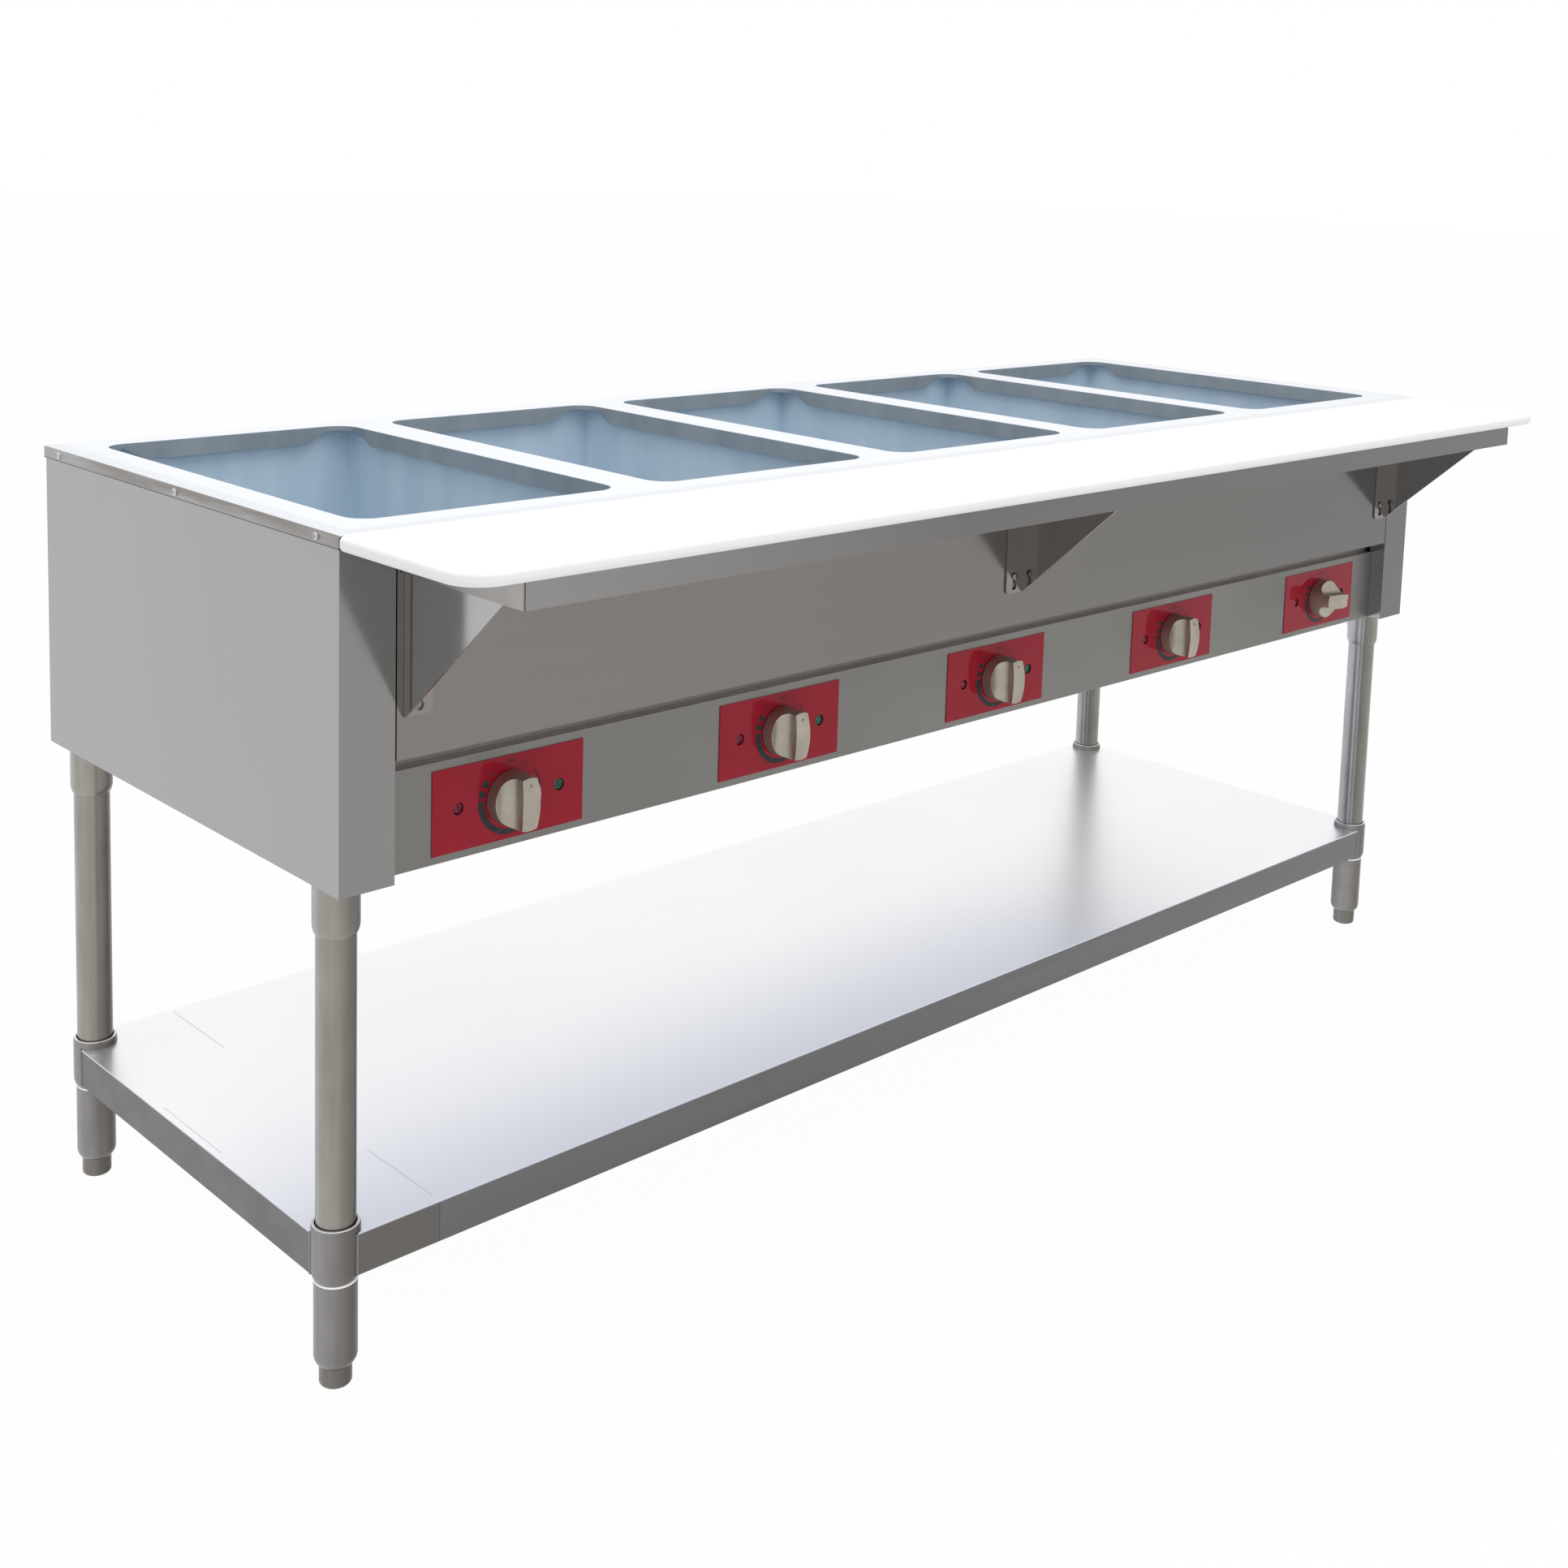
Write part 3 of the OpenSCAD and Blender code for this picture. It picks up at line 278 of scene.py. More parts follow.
# Direction to the left in the photograph, and the tones across a tube from its right edge to its left
TUBE_SIDE = Vector((-0.72, 0.69, 0.0))
# These tones are painted reflection and shade over the steel's grey: upright bands set by which way the
# surface faces.
TUBE_PAINTED_LIGHT = ((0.0, (104, 100, 97)), (0.15, (124, 119, 113)), (0.32, (144, 139, 132)),
              (0.5, (153, 148, 141)), (0.75, (156, 153, 147)), (0.88, (163, 162, 162)),
              (1.0, (142, 141, 140)))
# On the right-hand legs the painted reflections fall as narrow stripes.
RIGHT_TUBE_PAINTED_LIGHT = ((0.0, (144, 141, 136)), (0.2, (138, 135, 129)), (0.4, (126, 123, 118)),
                    (0.54, (108, 107, 105)), (0.6, (148, 148, 149)), (0.66, (118, 118, 119)),
                    (0.73, (172, 173, 176)), (0.8, (124, 125, 126)), (0.88, (166, 168, 171)),
                    (1.0, (184, 186, 190)))
SLEEVE_PAINTED_LIGHT = ((0.0, (84, 83, 80)), (0.15, (112, 109, 104)), (0.32, (122, 119, 114)),
                (0.5, (140, 137, 135)), (0.75, (146, 145, 147)), (0.88, (142, 141, 143)),
                (1.0, (114, 114, 115)))
RIGHT_LEGS_X = (0.0, 0.1)
# Band of painted highlight just below a collar's top edge.
RIM_HIGHLIGHT_BAND = (1.0 * MM, 0.6 * MM)


def tube(name, tones, level, roughness=0.26, rim=None, right_tones=None):
    """Drawn tube with upright bands of painted reflection and shade, set by which way the surface faces.

    level scales the painted tones, right_tones go on the right-hand legs, and rim is the height of a painted
    highlight along a top edge.
    """
    s = Shader(name)
    side = s.span(s.towards(TUBE_SIDE), -1.0, 1.0)
    # The ramp paints reflection and shade by which way the surface faces.
    tone = s.ramp(side, tones, level)
    if right_tones:
        tone = s.mix(s.span(s.axis("X"), *RIGHT_LEGS_X), tone, s.ramp(side, right_tones, level))
    streaks = s.noise(along("Z", 5.0, 170.0))
    patches = s.noise((50.0, 50.0, 22.0), detail=4.0)
    marks = s.noise((16.0, 16.0, 9.0), detail=4.0)
    colour = s.lit(tone, s.calculate("ADD", s.vary(streaks, -0.06, 0.06), s.vary(patches, 0.92, 1.08)))
    # A painted highlight along the top edge.
    if rim:
        edge = s.span(s.axis("Z"), rim - RIM_HIGHLIGHT_BAND[0], rim - RIM_HIGHLIGHT_BAND[1])
        colour = s.mix(edge, colour, rgb(222, 220, 222))
    s.set(Base_Color=colour, Metallic=0.9, Roughness=s.vary(marks, roughness - 0.05, roughness + 0.05))
    s.grain("Z", strength=0.05, depth=0.04 * MM)
    return s.material


# Steel of single pieces

LIP_MARGIN = 20.0 * MM
DECK_RIM = 13.0 * MM
# Painted shadow line along the rim's lower edge, just above its foot.
RIM_SHADOW_LINE = (0.7 * MM, 1.2 * MM)


def deck_steel():
    """Bright top, scuffed rim with a painted shadow along its lower edge, and lips that carry the liners'
    blue.
    """
    s = Shader("deck_steel")
    low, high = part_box("top_sheet")
    streaks = s.streaks("Z")
    scuffs = s.noise((5.0, 5.0, 60.0), detail=5.0)
    side, front, foot = high.x - LIP_MARGIN, low.y + LIP_MARGIN, high.z - DECK_RIM
    inside = s.both(s.span(s.absolute(s.axis("X")), side, side + MM, 1.0, 0.0),
                    s.span(s.axis("Y"), front - MM, front))
    rim = s.two_tones(scuffs, rgb(170, 169, 170), rgb(144, 139, 135), HARD)
    # The dark line at the rim's foot is painted shadow between the rim and the panels below.
    edge = s.span(s.axis("Z"), foot + RIM_SHADOW_LINE[0], foot + RIM_SHADOW_LINE[1], 1.0, 0.0)
    rim = s.mix(edge, rim, rgb(92, 90, 89))
    lips = s.two_tones(streaks, rgb(150, 158, 164), rgb(164, 171, 176), SOFT)
    s.set(Base_Color=s.mix(s.top_face(high.z), s.mix(inside, rim, lips), rgb(233, 236, 241)),
          Metallic=s.span(inside, 0.0, 1.0, 0.92, 0.45), Roughness=s.vary(streaks, 0.3, 0.38))
    return s.material


def bracket_steel(name, side):
    """Smooth steel with one tone on its sides and a darker, warm one on the flange that faces the front:
    painted shade set by which way the surface faces.
    """
    s = Shader(name)
    # Painted shade: the flange that faces the front is darker than the sides.
    front = s.span(s.towards(FRONT), *FACING)
    marks = s.noise(even(12.0), detail=4.0)
    s.set(Base_Color=s.mix(front, side, rgb(140, 135, 132)), Metallic=0.92,
          Roughness=s.vary(marks, 0.10, 0.16))
    s.grain("Z", strength=0.03, depth=0.03 * MM)
    return s.material


SEAM_WIDTH = 1.4 * MM
SEAM_BLUR = 0.3 * MM
SHELF_LIGHT_FADE = 0.35


def shelf_steel():
    """Work shelf: painted light makes it paler to the left and on its end strips, with a dark seam at its
    front corners.
    """
    s = Shader("shelf_front_steel")
    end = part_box("work_shelf")[1].x
    # Painted light: the front is paler towards its left end.
    light_fade = s.span(s.axis("X"), -end, -SHELF_LIGHT_FADE * end)
    front = s.mix(light_fade, rgb(150, 148, 147), rgb(121, 119, 118))
    seam = s.span(s.absolute(s.axis("X")), end - SEAM_WIDTH - SEAM_BLUR, end - SEAM_WIDTH)
    front = s.mix(seam, front, rgb(84, 82, 84))
    # Painted light: the end strips, which face left and right, are paler still.
    painted_light_ends = s.span(s.absolute(s.towards(LEFT_RIGHT)), *FACING)
    s.set(Base_Color=s.mix(painted_light_ends, front, rgb(172, 169, 167)), Metallic=0.9,
          Roughness=s.vary(s.streaks("X"), 0.28, 0.4))
    s.grain("X", strength=0.05, depth=0.05 * MM)
    return s.material


# Painted highlight along the lips' top bend, below the top face.
BEND_HIGHLIGHT_LINE = 1.6 * MM
BEND_BLUR = 0.4 * MM
# Extent of the bluish painted shade on the undershelf's top near the front.
SHADE_NEAR_Y = (-180.0 * MM, 100.0 * MM)
SHADE_NEAR_X = (150.0 * MM, 400.0 * MM)
FILM_LIP_X = -786.5 * MM
FILM_LIP_BLUR = 0.2 * MM
FILM_LIP_LINE = (0.4 * MM, 0.7 * MM)
FILM_FACING = (0.5, 0.6)
FILM_SHARE = 0.6


def undershelf_steel():
    """Bright top, with a bluish painted shade near the front, over grey lips with a painted highlight along
    the bend and film on part of the front.
    """
    s = Shader("undershelf_steel")
    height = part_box("undershelf")[1].z
    lips = s.two_tones(s.streaks("X"), rgb(108, 107, 108), rgb(120, 119, 120), SOFT)
    past_film = s.calculate("SUBTRACT", s.axis("X"), FILM_LIP_X)
    covered = s.both(s.span(past_film, -FILM_LIP_BLUR, FILM_LIP_BLUR, FILM_SHARE, 0.0),
                     s.span(s.towards(FRONT), *FILM_FACING))
    lips = s.mix(covered, lips, rgb(106, 102, 95))
    lips = s.mix(s.span(s.absolute(past_film), *FILM_LIP_LINE, FILM_SHARE, 0.0), lips, rgb(70, 69, 70))
    # A painted highlight along the lips' top bend.
    bend_highlight = s.span(s.axis("Z"), height - BEND_HIGHLIGHT_LINE - BEND_BLUR, height - BEND_HIGHLIGHT_LINE)
    lips = s.mix(bend_highlight, lips, rgb(206, 206, 220))
    smudge = s.noise((1.6, 2.4, 1.0))
    sheet = s.two_tones(smudge, rgb(255, 255, 255), rgb(250, 250, 253), SPARSE)
    # A bluish tint of painted shade on the top near the front.
    near_shade = s.both(s.span(s.axis("Y"), *SHADE_NEAR_Y, 1.0, 0.0), s.span(s.axis("X"), *SHADE_NEAR_X, 1.0, 0.0))
    sheet = s.mix(near_shade, sheet, rgb(240, 244, 254))
    top = s.top_face(height)
    s.set(Base_Color=s.mix(top, lips, sheet), Metallic=0.88, Roughness=s.span(top, 0.0, 1.0, 0.34, 0.3))
    s.grain("X", strength=0.01, depth=0.04 * MM)
    return s.material


def liner_steel():
    s = Shader("liner_steel")
    bands = s.noise((22.0, 22.0, 0.4))
    cloud = s.noise((9.0, 9.0, 5.0), detail=4.0)
    tone = s.two_tones(bands, rgb(194, 213, 228), rgb(210, 225, 236))
    s.set(Base_Color=s.mix(s.vary(cloud, 0.0, 0.5, CLOUDY), tone, rgb(202, 218, 231)), Metallic=0.2,
          Roughness=s.vary(cloud, 0.36, 0.5))
    s.bump(bands, strength=0.05, depth=0.2 * MM)
    return s.material


def satin_nickel():
    s = Shader("satin_nickel")
    lines = s.noise((40.0, 40.0, 700.0), detail=2.0)
    s.set(Base_Color=s.two_tones(s.noise(even(30.0)), rgb(168, 160, 148), rgb(182, 175, 163)), Metallic=0.8,
          Roughness=s.vary(lines, 0.36, 0.46))
    s.bump(lines, strength=0.05, depth=0.04 * MM)
    return s.material


# Plastic, paint and wool

def board_plastic():
    s = Shader("board_plastic")
    grain = s.noise(even(260.0))
    cloud = s.noise(even(4.0), detail=2.0)
    s.set(Base_Color=s.two_tones(cloud, rgb(247, 248, 249), rgb(250, 250, 250), SOFT),
          Roughness=s.vary(grain, 0.42, 0.54), Specular_IOR_Level=0.35)
    s.bump(grain, strength=0.08, depth=0.1 * MM)
    return s.material


def dial_paint():
    s = Shader("dial_paint")
    cloud = s.noise(even(18.0))
    s.set(Base_Color=s.two_tones(cloud, rgb(155, 14, 37), rgb(160, 19, 42)),
          Roughness=s.vary(cloud, 0.07, 0.12), Specular_IOR_Level=0.2)
    s.bump(s.noise(even(500.0), detail=2.0), strength=0.03, depth=0.04 * MM)
    return s.material


def print_ink():
    s = Shader("print_ink")
    wear = s.noise(even(240.0))
    s.set(Base_Color=s.two_tones(wear, rgb(50, 50, 54), rgb(66, 64, 67), SPARSE),
          Roughness=s.vary(wear, 0.3, 0.45), Specular_IOR_Level=0.15)
    return s.material


def film_edge():
    s = Shader("film_edge")
    s.set(Base_Color=s.two_tones(s.noise(even(30.0)), rgb(206, 208, 214), rgb(176, 178, 186)), Roughness=0.5)
    return s.material


def lens_plastic(name, colour, highlight_tone):
    s = Shader(name)
    cloud = s.noise(even(300.0), detail=2.0)
    # The lighter tone, scattered by the noise, is a painted highlight.
    s.set(Base_Color=s.two_tones(cloud, colour, highlight_tone, HARD), Roughness=0.2, Specular_IOR_Level=0.2)
    s.bump(cloud, strength=0.05, depth=0.1 * MM)
    return s.material


def moulded(name, colour, roughness=0.5):
    s = Shader(name)
    grain = s.noise(even(420.0))
    s.set(Base_Color=s.two_tones(grain, shade(colour, 0.9), shade(colour, 1.1)),
          Roughness=s.vary(grain, roughness - 0.06, roughness + 0.06))
    s.bump(grain, strength=0.1, depth=0.05 * MM)
    return s.material


def mineral_wool():
    s = Shader("mineral_wool")
    fibre = s.noise((380.0, 60.0, 380.0), detail=5.0)
    s.set(Base_Color=s.two_tones(fibre, rgb(150, 130, 84), rgb(206, 190, 140), SOFT), Roughness=0.95)
    s.bump(fibre, strength=0.5, depth=1.5 * MM)
    return s.material


# Mesh helpers

TURN_STEPS = 48
SAME_SPOT = 0.001 * MM


def solids(name):
    """The lowest and highest corner of each separate solid in a CAD node."""
    mesh = bmesh.new()
    mesh.from_mesh(nodes[name].data)
    bmesh.ops.remove_doubles(mesh, verts=mesh.verts, dist=SAME_SPOT)
    boxes, left = [], set(mesh.verts)
    while left:
        reached = [left.pop()]
        for vert in reached:
            for edge in vert.link_edges:
                other = edge.other_vert(vert)
                if other in left:
                    left.remove(other)
                    reached.append(other)
        low, high = (Vector(tuple(end(v.co[i] for v in reached) for i in range(3))) for end in (min, max))
        boxes.append((low, high))
    mesh.free()
    return sorted(boxes, key=lambda box: box[0][:])


def facing(place, direction):
    """A pose at place whose Z axis points in direction."""
    return Matrix.Translation(place) @ Vector(direction).to_track_quat("Z", "Y").to_matrix().to_4x4()


def join_rings(mesh, rings):
    for lower, upper in zip(rings, rings[1:]):
        for i in range(max(len(lower), len(upper))):
            corners = [lower[i % len(lower)], lower[(i + 1) % len(lower)],
                       upper[(i + 1) % len(upper)], upper[i % len(upper)]]
            mesh.faces.new(list(dict.fromkeys(corners)))


def lathe(mesh, profile, pose, steps=TURN_STEPS):
    """Turns (radius, height) points about the pose's Z axis."""
    rings = []
    for radius, height in profile:
        angles = [math.tau * i / steps for i in range(steps if radius > 0 else 1)]
        rings.append([mesh.verts.new(pose @ Vector((radius * math.cos(a), radius * math.sin(a), height)))
                      for a in angles])
    join_rings(mesh, rings)


def thicken(mesh, depth):
    """Gives flat faces a thickness, so that a line or a print is a thin solid."""
    bmesh.ops.remove_doubles(mesh, verts=mesh.verts, dist=SAME_SPOT)
    bmesh.ops.solidify(mesh, geom=mesh.faces[:], thickness=depth)


def make_piece(name, mesh, material, body="table", stands_for=None, sharp=35.0):
    data = bpy.data.meshes.new(name)
    bmesh.ops.recalc_face_normals(mesh, faces=mesh.faces)
    mesh.to_mesh(data)
    mesh.free()
    data.materials.append(material)
    data.polygons.foreach_set("use_smooth", [True] * len(data.polygons))
    data.set_sharp_from_angle(angle=math.radians(sharp))
    piece = bpy.data.objects.new(name, data)
    bpy.context.scene.collection.objects.link(piece)
    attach(piece, body)
    if stands_for:
        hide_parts(stands_for)


# Fasteners

HEAD_RINGS = 14
CROSS_ARM = 0.15
CROSS_REACH = 0.6
CROSS_DEPTH = 0.45
DOME_DROP = 0.45
THREAD_ROOT = 0.82
SHANK_TIP = 0.6


def pan_head(mesh, pose, radius, height):
    """A domed screw head on the pose's Z axis, with a cross pressed into it."""
    def level(x, y):
        top = height * (1 - DOME_DROP * (math.hypot(x, y) / radius) ** 4)
        arm, reach = CROSS_ARM * radius, CROSS_REACH * radius
        pressed = min(abs(x), abs(y)) < arm and max(abs(x), abs(y)) < reach
        return top - CROSS_DEPTH * height if pressed else top

    rings = [[mesh.verts.new(pose @ Vector((0, 0, level(0, 0))))]]
    for k in range(1, HEAD_RINGS + 1):
        r = radius * k / HEAD_RINGS
        angles = [math.tau * i / TURN_STEPS for i in range(TURN_STEPS)]
        spots = [(r * math.cos(a), r * math.sin(a)) for a in angles]
        rings.append([mesh.verts.new(pose @ Vector((x, y, level(x, y)))) for x, y in spots])
    drop = pose.to_3x3() @ Vector((0, 0, (DOME_DROP - 1) * height))
    rim = [mesh.verts.new(v.co + drop) for v in rings[-1]]
    base = mesh.verts.new(pose @ Vector((0, 0, 0)))
    join_rings(mesh, [*rings, rim, [base]])


def threaded(radius, length, pitch):
    """Profile of a screw's shank below its head, with a ridge for each turn of thread."""
    ridges = []
    for turn in range(int(length / pitch)):
        ridges.append((radius * THREAD_ROOT, -pitch * turn))
        ridges.append((radius, -pitch * (turn + 0.5)))
    return [(0.0, 0.0), *ridges, (radius * SHANK_TIP, -length), (0.0, -length)]


DECK_HEAD = (4.0 * MM, 2.2 * MM)
DECK_SHANK = (1.75 * MM, 8.0 * MM, 0.9 * MM)
HANG_HEAD = (4.1 * MM, 2.6 * MM)
HANG_SHANK_RADIUS = 2.5 * MM
HANG_PITCH = 0.8 * MM
NUT_HEIGHT = 2.6 * MM
NUT_SIDES = 6


def make_deck_screws(material):
    mesh = bmesh.new()
    for low, high in solids("deck_screws"):
        middle = (low + high) / 2
        side = math.copysign(1.0, middle.x)
        seat = (high.x if side > 0 else -low.x) - DECK_HEAD[1]
        pose = facing((side * seat, middle.y, middle.z), (side, 0, 0))
        pan_head(mesh, pose, *DECK_HEAD)
        lathe(mesh, threaded(*DECK_SHANK), pose)
    make_piece("deck_screw_heads", mesh, material, stands_for="deck_screws")


def make_hanging_screws(material):
    mesh = bmesh.new()
    for low, high in solids("hanging_screws"):
        middle = (low + high) / 2
        seat = low.y + HANG_HEAD[1]
        pose = facing((middle.x, seat, middle.z), (0, -1, 0))
        pan_head(mesh, pose, *HANG_HEAD)
        lathe(mesh, threaded(HANG_SHANK_RADIUS, high.y - seat, HANG_PITCH), pose)
        inner, outer = HANG_SHANK_RADIUS, HANG_HEAD[0]
        top, bottom = seat + NUT_HEIGHT - high.y, seat - high.y
        nut = [(inner, top), (outer, top), (outer, bottom), (inner, bottom), (inner, top)]
        lathe(mesh, nut, pose, NUT_SIDES)
    make_piece("hanging_screw_heads", mesh, material, stands_for="hanging_screws")


# Lamps and the dials' print

LENS_CROWN = 1.1 * MM
LENS_STEPS = 8


def make_lenses(name, node, material):
    """Lenses with a low crown, sunk in the dial plates."""
    mesh = bmesh.new()
    for low, high in solids(node):
        middle = (low + high) / 2
        radius, depth = (high.x - low.x) / 2, high.y - low.y
        angles = [math.pi / 2 * k / LENS_STEPS for k in range(LENS_STEPS)]
        crown = [(radius * math.cos(a), depth - LENS_CROWN + LENS_CROWN * math.sin(a)) for a in angles]
        pose = facing((middle.x, high.y, middle.z), (0, -1, 0))
        lathe(mesh, [(0.0, 0.0), (radius, 0.0), *crown, (0.0, depth)], pose)
    make_piece(name, mesh, material, stands_for=node)


UPRIGHT = Matrix(((1, 0, 0), (0, 0, -1), (0, 1, 0))).to_4x4()
PRINT_LIFT = 0.06 * MM
BAND_OUTER = 36.8 * MM
BAND_THICK = (0.8 * MM, 8.0 * MM)
BAND_ANGLES = (40.0, -183.0)
BAND_STEPS = 72
DASH_ANGLES = (166.0, 148.0)
DASH_HALF = 5.9
DASH_THICK = (7.5 * MM, 7.5 * MM)
DASH_STEPS = 4
WORD_RADIUS = 35.0 * MM
WORD_WEIGHT = 0.12 * MM
WORDS = (("OFF", 87.0, 5.0 * MM), ("1", 55.0, 6.0 * MM), ("10", 129.0, 6.5 * MM))


def printed_band(mesh, pose, angles, thick, steps):
    """A band inside the outer radius that changes evenly from one thickness to the other."""
    rings = []
    for i in range(steps + 1):
        share = i / steps
        angle = math.radians(angles[0] + (angles[1] - angles[0]) * share)
        inner = BAND_OUTER - thick[0] - (thick[1] - thick[0]) * share
        rings.append([mesh.verts.new(pose @ Vector((r * math.cos(angle), r * math.sin(angle), 0)))
                      for r in (inner, BAND_OUTER)])
    for first, second in zip(rings, rings[1:]):
        mesh.faces.new((*first, *reversed(second)))


def printed_word(mesh, pose, words, angle, height):
    """Words centred on the scale's circle, at an angle from 3 o'clock."""
    curve = bpy.data.curves.new("word", "FONT")
    curve.body = words
    curve.size = height
    curve.offset = WORD_WEIGHT
    curve.align_x = curve.align_y = "CENTER"
    letters = bpy.data.objects.new("word", curve)
    outline = bpy.data.meshes.new_from_object(letters)
    turn = math.radians(angle)
    centre = (WORD_RADIUS * math.cos(turn), WORD_RADIUS * math.sin(turn), 0)
    outline.transform(pose @ Matrix.Translation(centre))
    mesh.from_mesh(outline)
    bpy.data.objects.remove(letters)
    bpy.data.curves.remove(curve)
    bpy.data.meshes.remove(outline)


def make_print(material):
    """The heat scale on each dial plate: a band that grows, two dashes and plain marks."""
    mesh = bmesh.new()
    for low, high in solids("dial_plates"):
        middle = (low + high) / 2
        pose = Matrix.Translation((middle.x, low.y - PRINT_LIFT, middle.z)) @ UPRIGHT
        printed_band(mesh, pose, BAND_ANGLES, BAND_THICK, BAND_STEPS)
        for angle in DASH_ANGLES:
            printed_band(mesh, pose, (angle + DASH_HALF, angle - DASH_HALF), DASH_THICK, DASH_STEPS)
        for words, angle, height in WORDS:
            printed_word(mesh, pose, words, angle, height)
    thicken(mesh, PRINT_LIFT / 2)
    make_piece("dial_print", mesh, material)


# Polished rings on the sleeves

RING_BULGE = 0.45 * MM
RING_STEPS = 6
RING_HEIGHT = 2.5 * MM
NECK_RADIUS = 20.3 * MM


def make_neck_rings(material):
    """The polished ring round the neck on top of each sleeve."""
    mesh = bmesh.new()
    angles = [math.pi * k / RING_STEPS for k in range(RING_STEPS + 1)]
    outside = [(NECK_RADIUS + RING_BULGE * math.sin(a), RING_HEIGHT * (math.cos(a) - 1) / 2) for a in angles]
    inner = NECK_RADIUS - RING_BULGE
    profile = [*outside, (inner, -RING_HEIGHT), (inner, 0.0), outside[0]]
    for low, high in solids("leg_sleeves"):
        middle = (low + high) / 2
        lathe(mesh, profile, facing((middle.x, middle.y, high.z), (0, 0, 1)))
    make_piece("neck_rings", mesh, material)


# Welds between the undershelf's lips and the collars

BEAD_RADIUS = 1.4 * MM
BEAD_WAVE = 0.25 * MM
BEAD_PITCH = 2.2 * MM
BEAD_SINK = 0.3 * MM
BEAD_SIDES = 12
BEAD_SAMPLES = 4
BEAD_SHARP = 60.0


def bead_profile(length):
    """A rod whose radius rises and falls once in each pitch."""
    steps = BEAD_SAMPLES * round(length / BEAD_PITCH)
    wave = [BEAD_RADIUS + BEAD_WAVE * math.sin(math.tau * i / BEAD_SAMPLES) for i in range(steps + 1)]
    return [(0, 0), *((r, length * i / steps) for i, r in enumerate(wave)), (0, length)]


def make_weld_beads(material):
    """Two upright beads at each leg, where the undershelf's lips run into the collar."""
    mesh = bmesh.new()
    lowest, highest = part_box("undershelf")
    profile = bead_profile(highest.z - lowest.z)
    for low, high in solids("shelf_collars"):
        middle, radius = (low + high) / 2, (high.x - low.x) / 2
        out_x = math.copysign(1, middle.x)
        out_y = math.copysign(1, middle.y - (lowest.y + highest.y) / 2)
        lip = highest.x - abs(middle.x) - BEAD_SINK
        reach = math.sqrt(radius ** 2 - lip ** 2)
        for x, y in ((lip * out_x, -reach * out_y), (-reach * out_x, lip * out_y)):
            pose = facing((middle.x + x, middle.y + y, lowest.z), (0, 0, 1))
            lathe(mesh, profile, pose, BEAD_SIDES)
    make_piece("weld_beads", mesh, material, sharp=BEAD_SHARP)


# Hem of the control panel, seen through the slot above it

HEM_HEIGHT = 13.5 * MM
HEM_SHEET = 0.8 * MM
HEM_INSET = 14.0 * MM
HEM_REACH = 50.0 * MM
HEM_LIFT = 0.05 * MM
HEM_ROLL = 5


def make_panel_hem(material):
    """The control panel's top return ends in an upright hem with a rolled edge."""
    low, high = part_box("control_panel")
    foot, back, half = high.z + HEM_LIFT, low.y + HEM_INSET, HEM_SHEET / 2
    rim = foot + HEM_HEIGHT - half
    outline = [(back - HEM_SHEET, foot), (back - HEM_SHEET, rim)]
    for i in range(1, HEM_ROLL):
        turn = math.pi * (1 - i / HEM_ROLL)
        outline.append((back - half + half * math.cos(turn), rim + half * math.sin(turn)))
    outline += [(back, rim), (back, foot)]
    mesh = bmesh.new()
    left, right = ([mesh.verts.new((x, y, z)) for y, z in outline]
                   for x in (low.x - HEM_REACH, high.x + HEM_REACH))
    join_rings(mesh, [left, right])
    mesh.faces.new(left)
    mesh.faces.new(reversed(right))
    make_piece("panel_hem", mesh, material)


# Edges of protective film on the undershelf, as X and the Y where each starts and stops

FILM_LIFT = 0.05 * MM
FILM_HALF = 0.3 * MM
FILM_EDGES = ((-787 * MM, 246 * MM, 369 * MM), (-901 * MM, 39 * MM, 161 * MM),
              (-787 * MM, -168 * MM, -49 * MM))


def make_film_edges(material):
    mesh = bmesh.new()
    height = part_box("undershelf")[1].z + FILM_LIFT
    for x, start, stop in FILM_EDGES:
        left, right = x - FILM_HALF, x + FILM_HALF
        corners = ((left, start), (right, start), (right, stop), (left, stop))
        mesh.faces.new([mesh.verts.new((*corner, height)) for corner in corners])
    thicken(mesh, FILM_LIFT / 2)
    make_piece("film_edges", mesh, material)


# Looks of the CAD nodes

COLUMN_FACE = 0.4 * MM
COLUMN_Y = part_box("left_end_panel")[0].y + COLUMN_FACE
PANEL_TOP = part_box("control_panel")[1].z
PANEL_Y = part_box("control_panel")[0].y
COLLAR_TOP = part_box("shelf_collars")[1].z
# X span over which the fascia darkens with painted shade.
FASCIA_SHADE_SPAN = (-0.75, 0.8)
END_GREY = rgb(167, 168, 170)


def dress(material, *names):
    for name in names:
        mesh = nodes[name].data
        mesh.materials.clear()
        mesh.materials.append(material)


def for_wells(name):
    return [f"{name}_{k}" for k in WELLS]


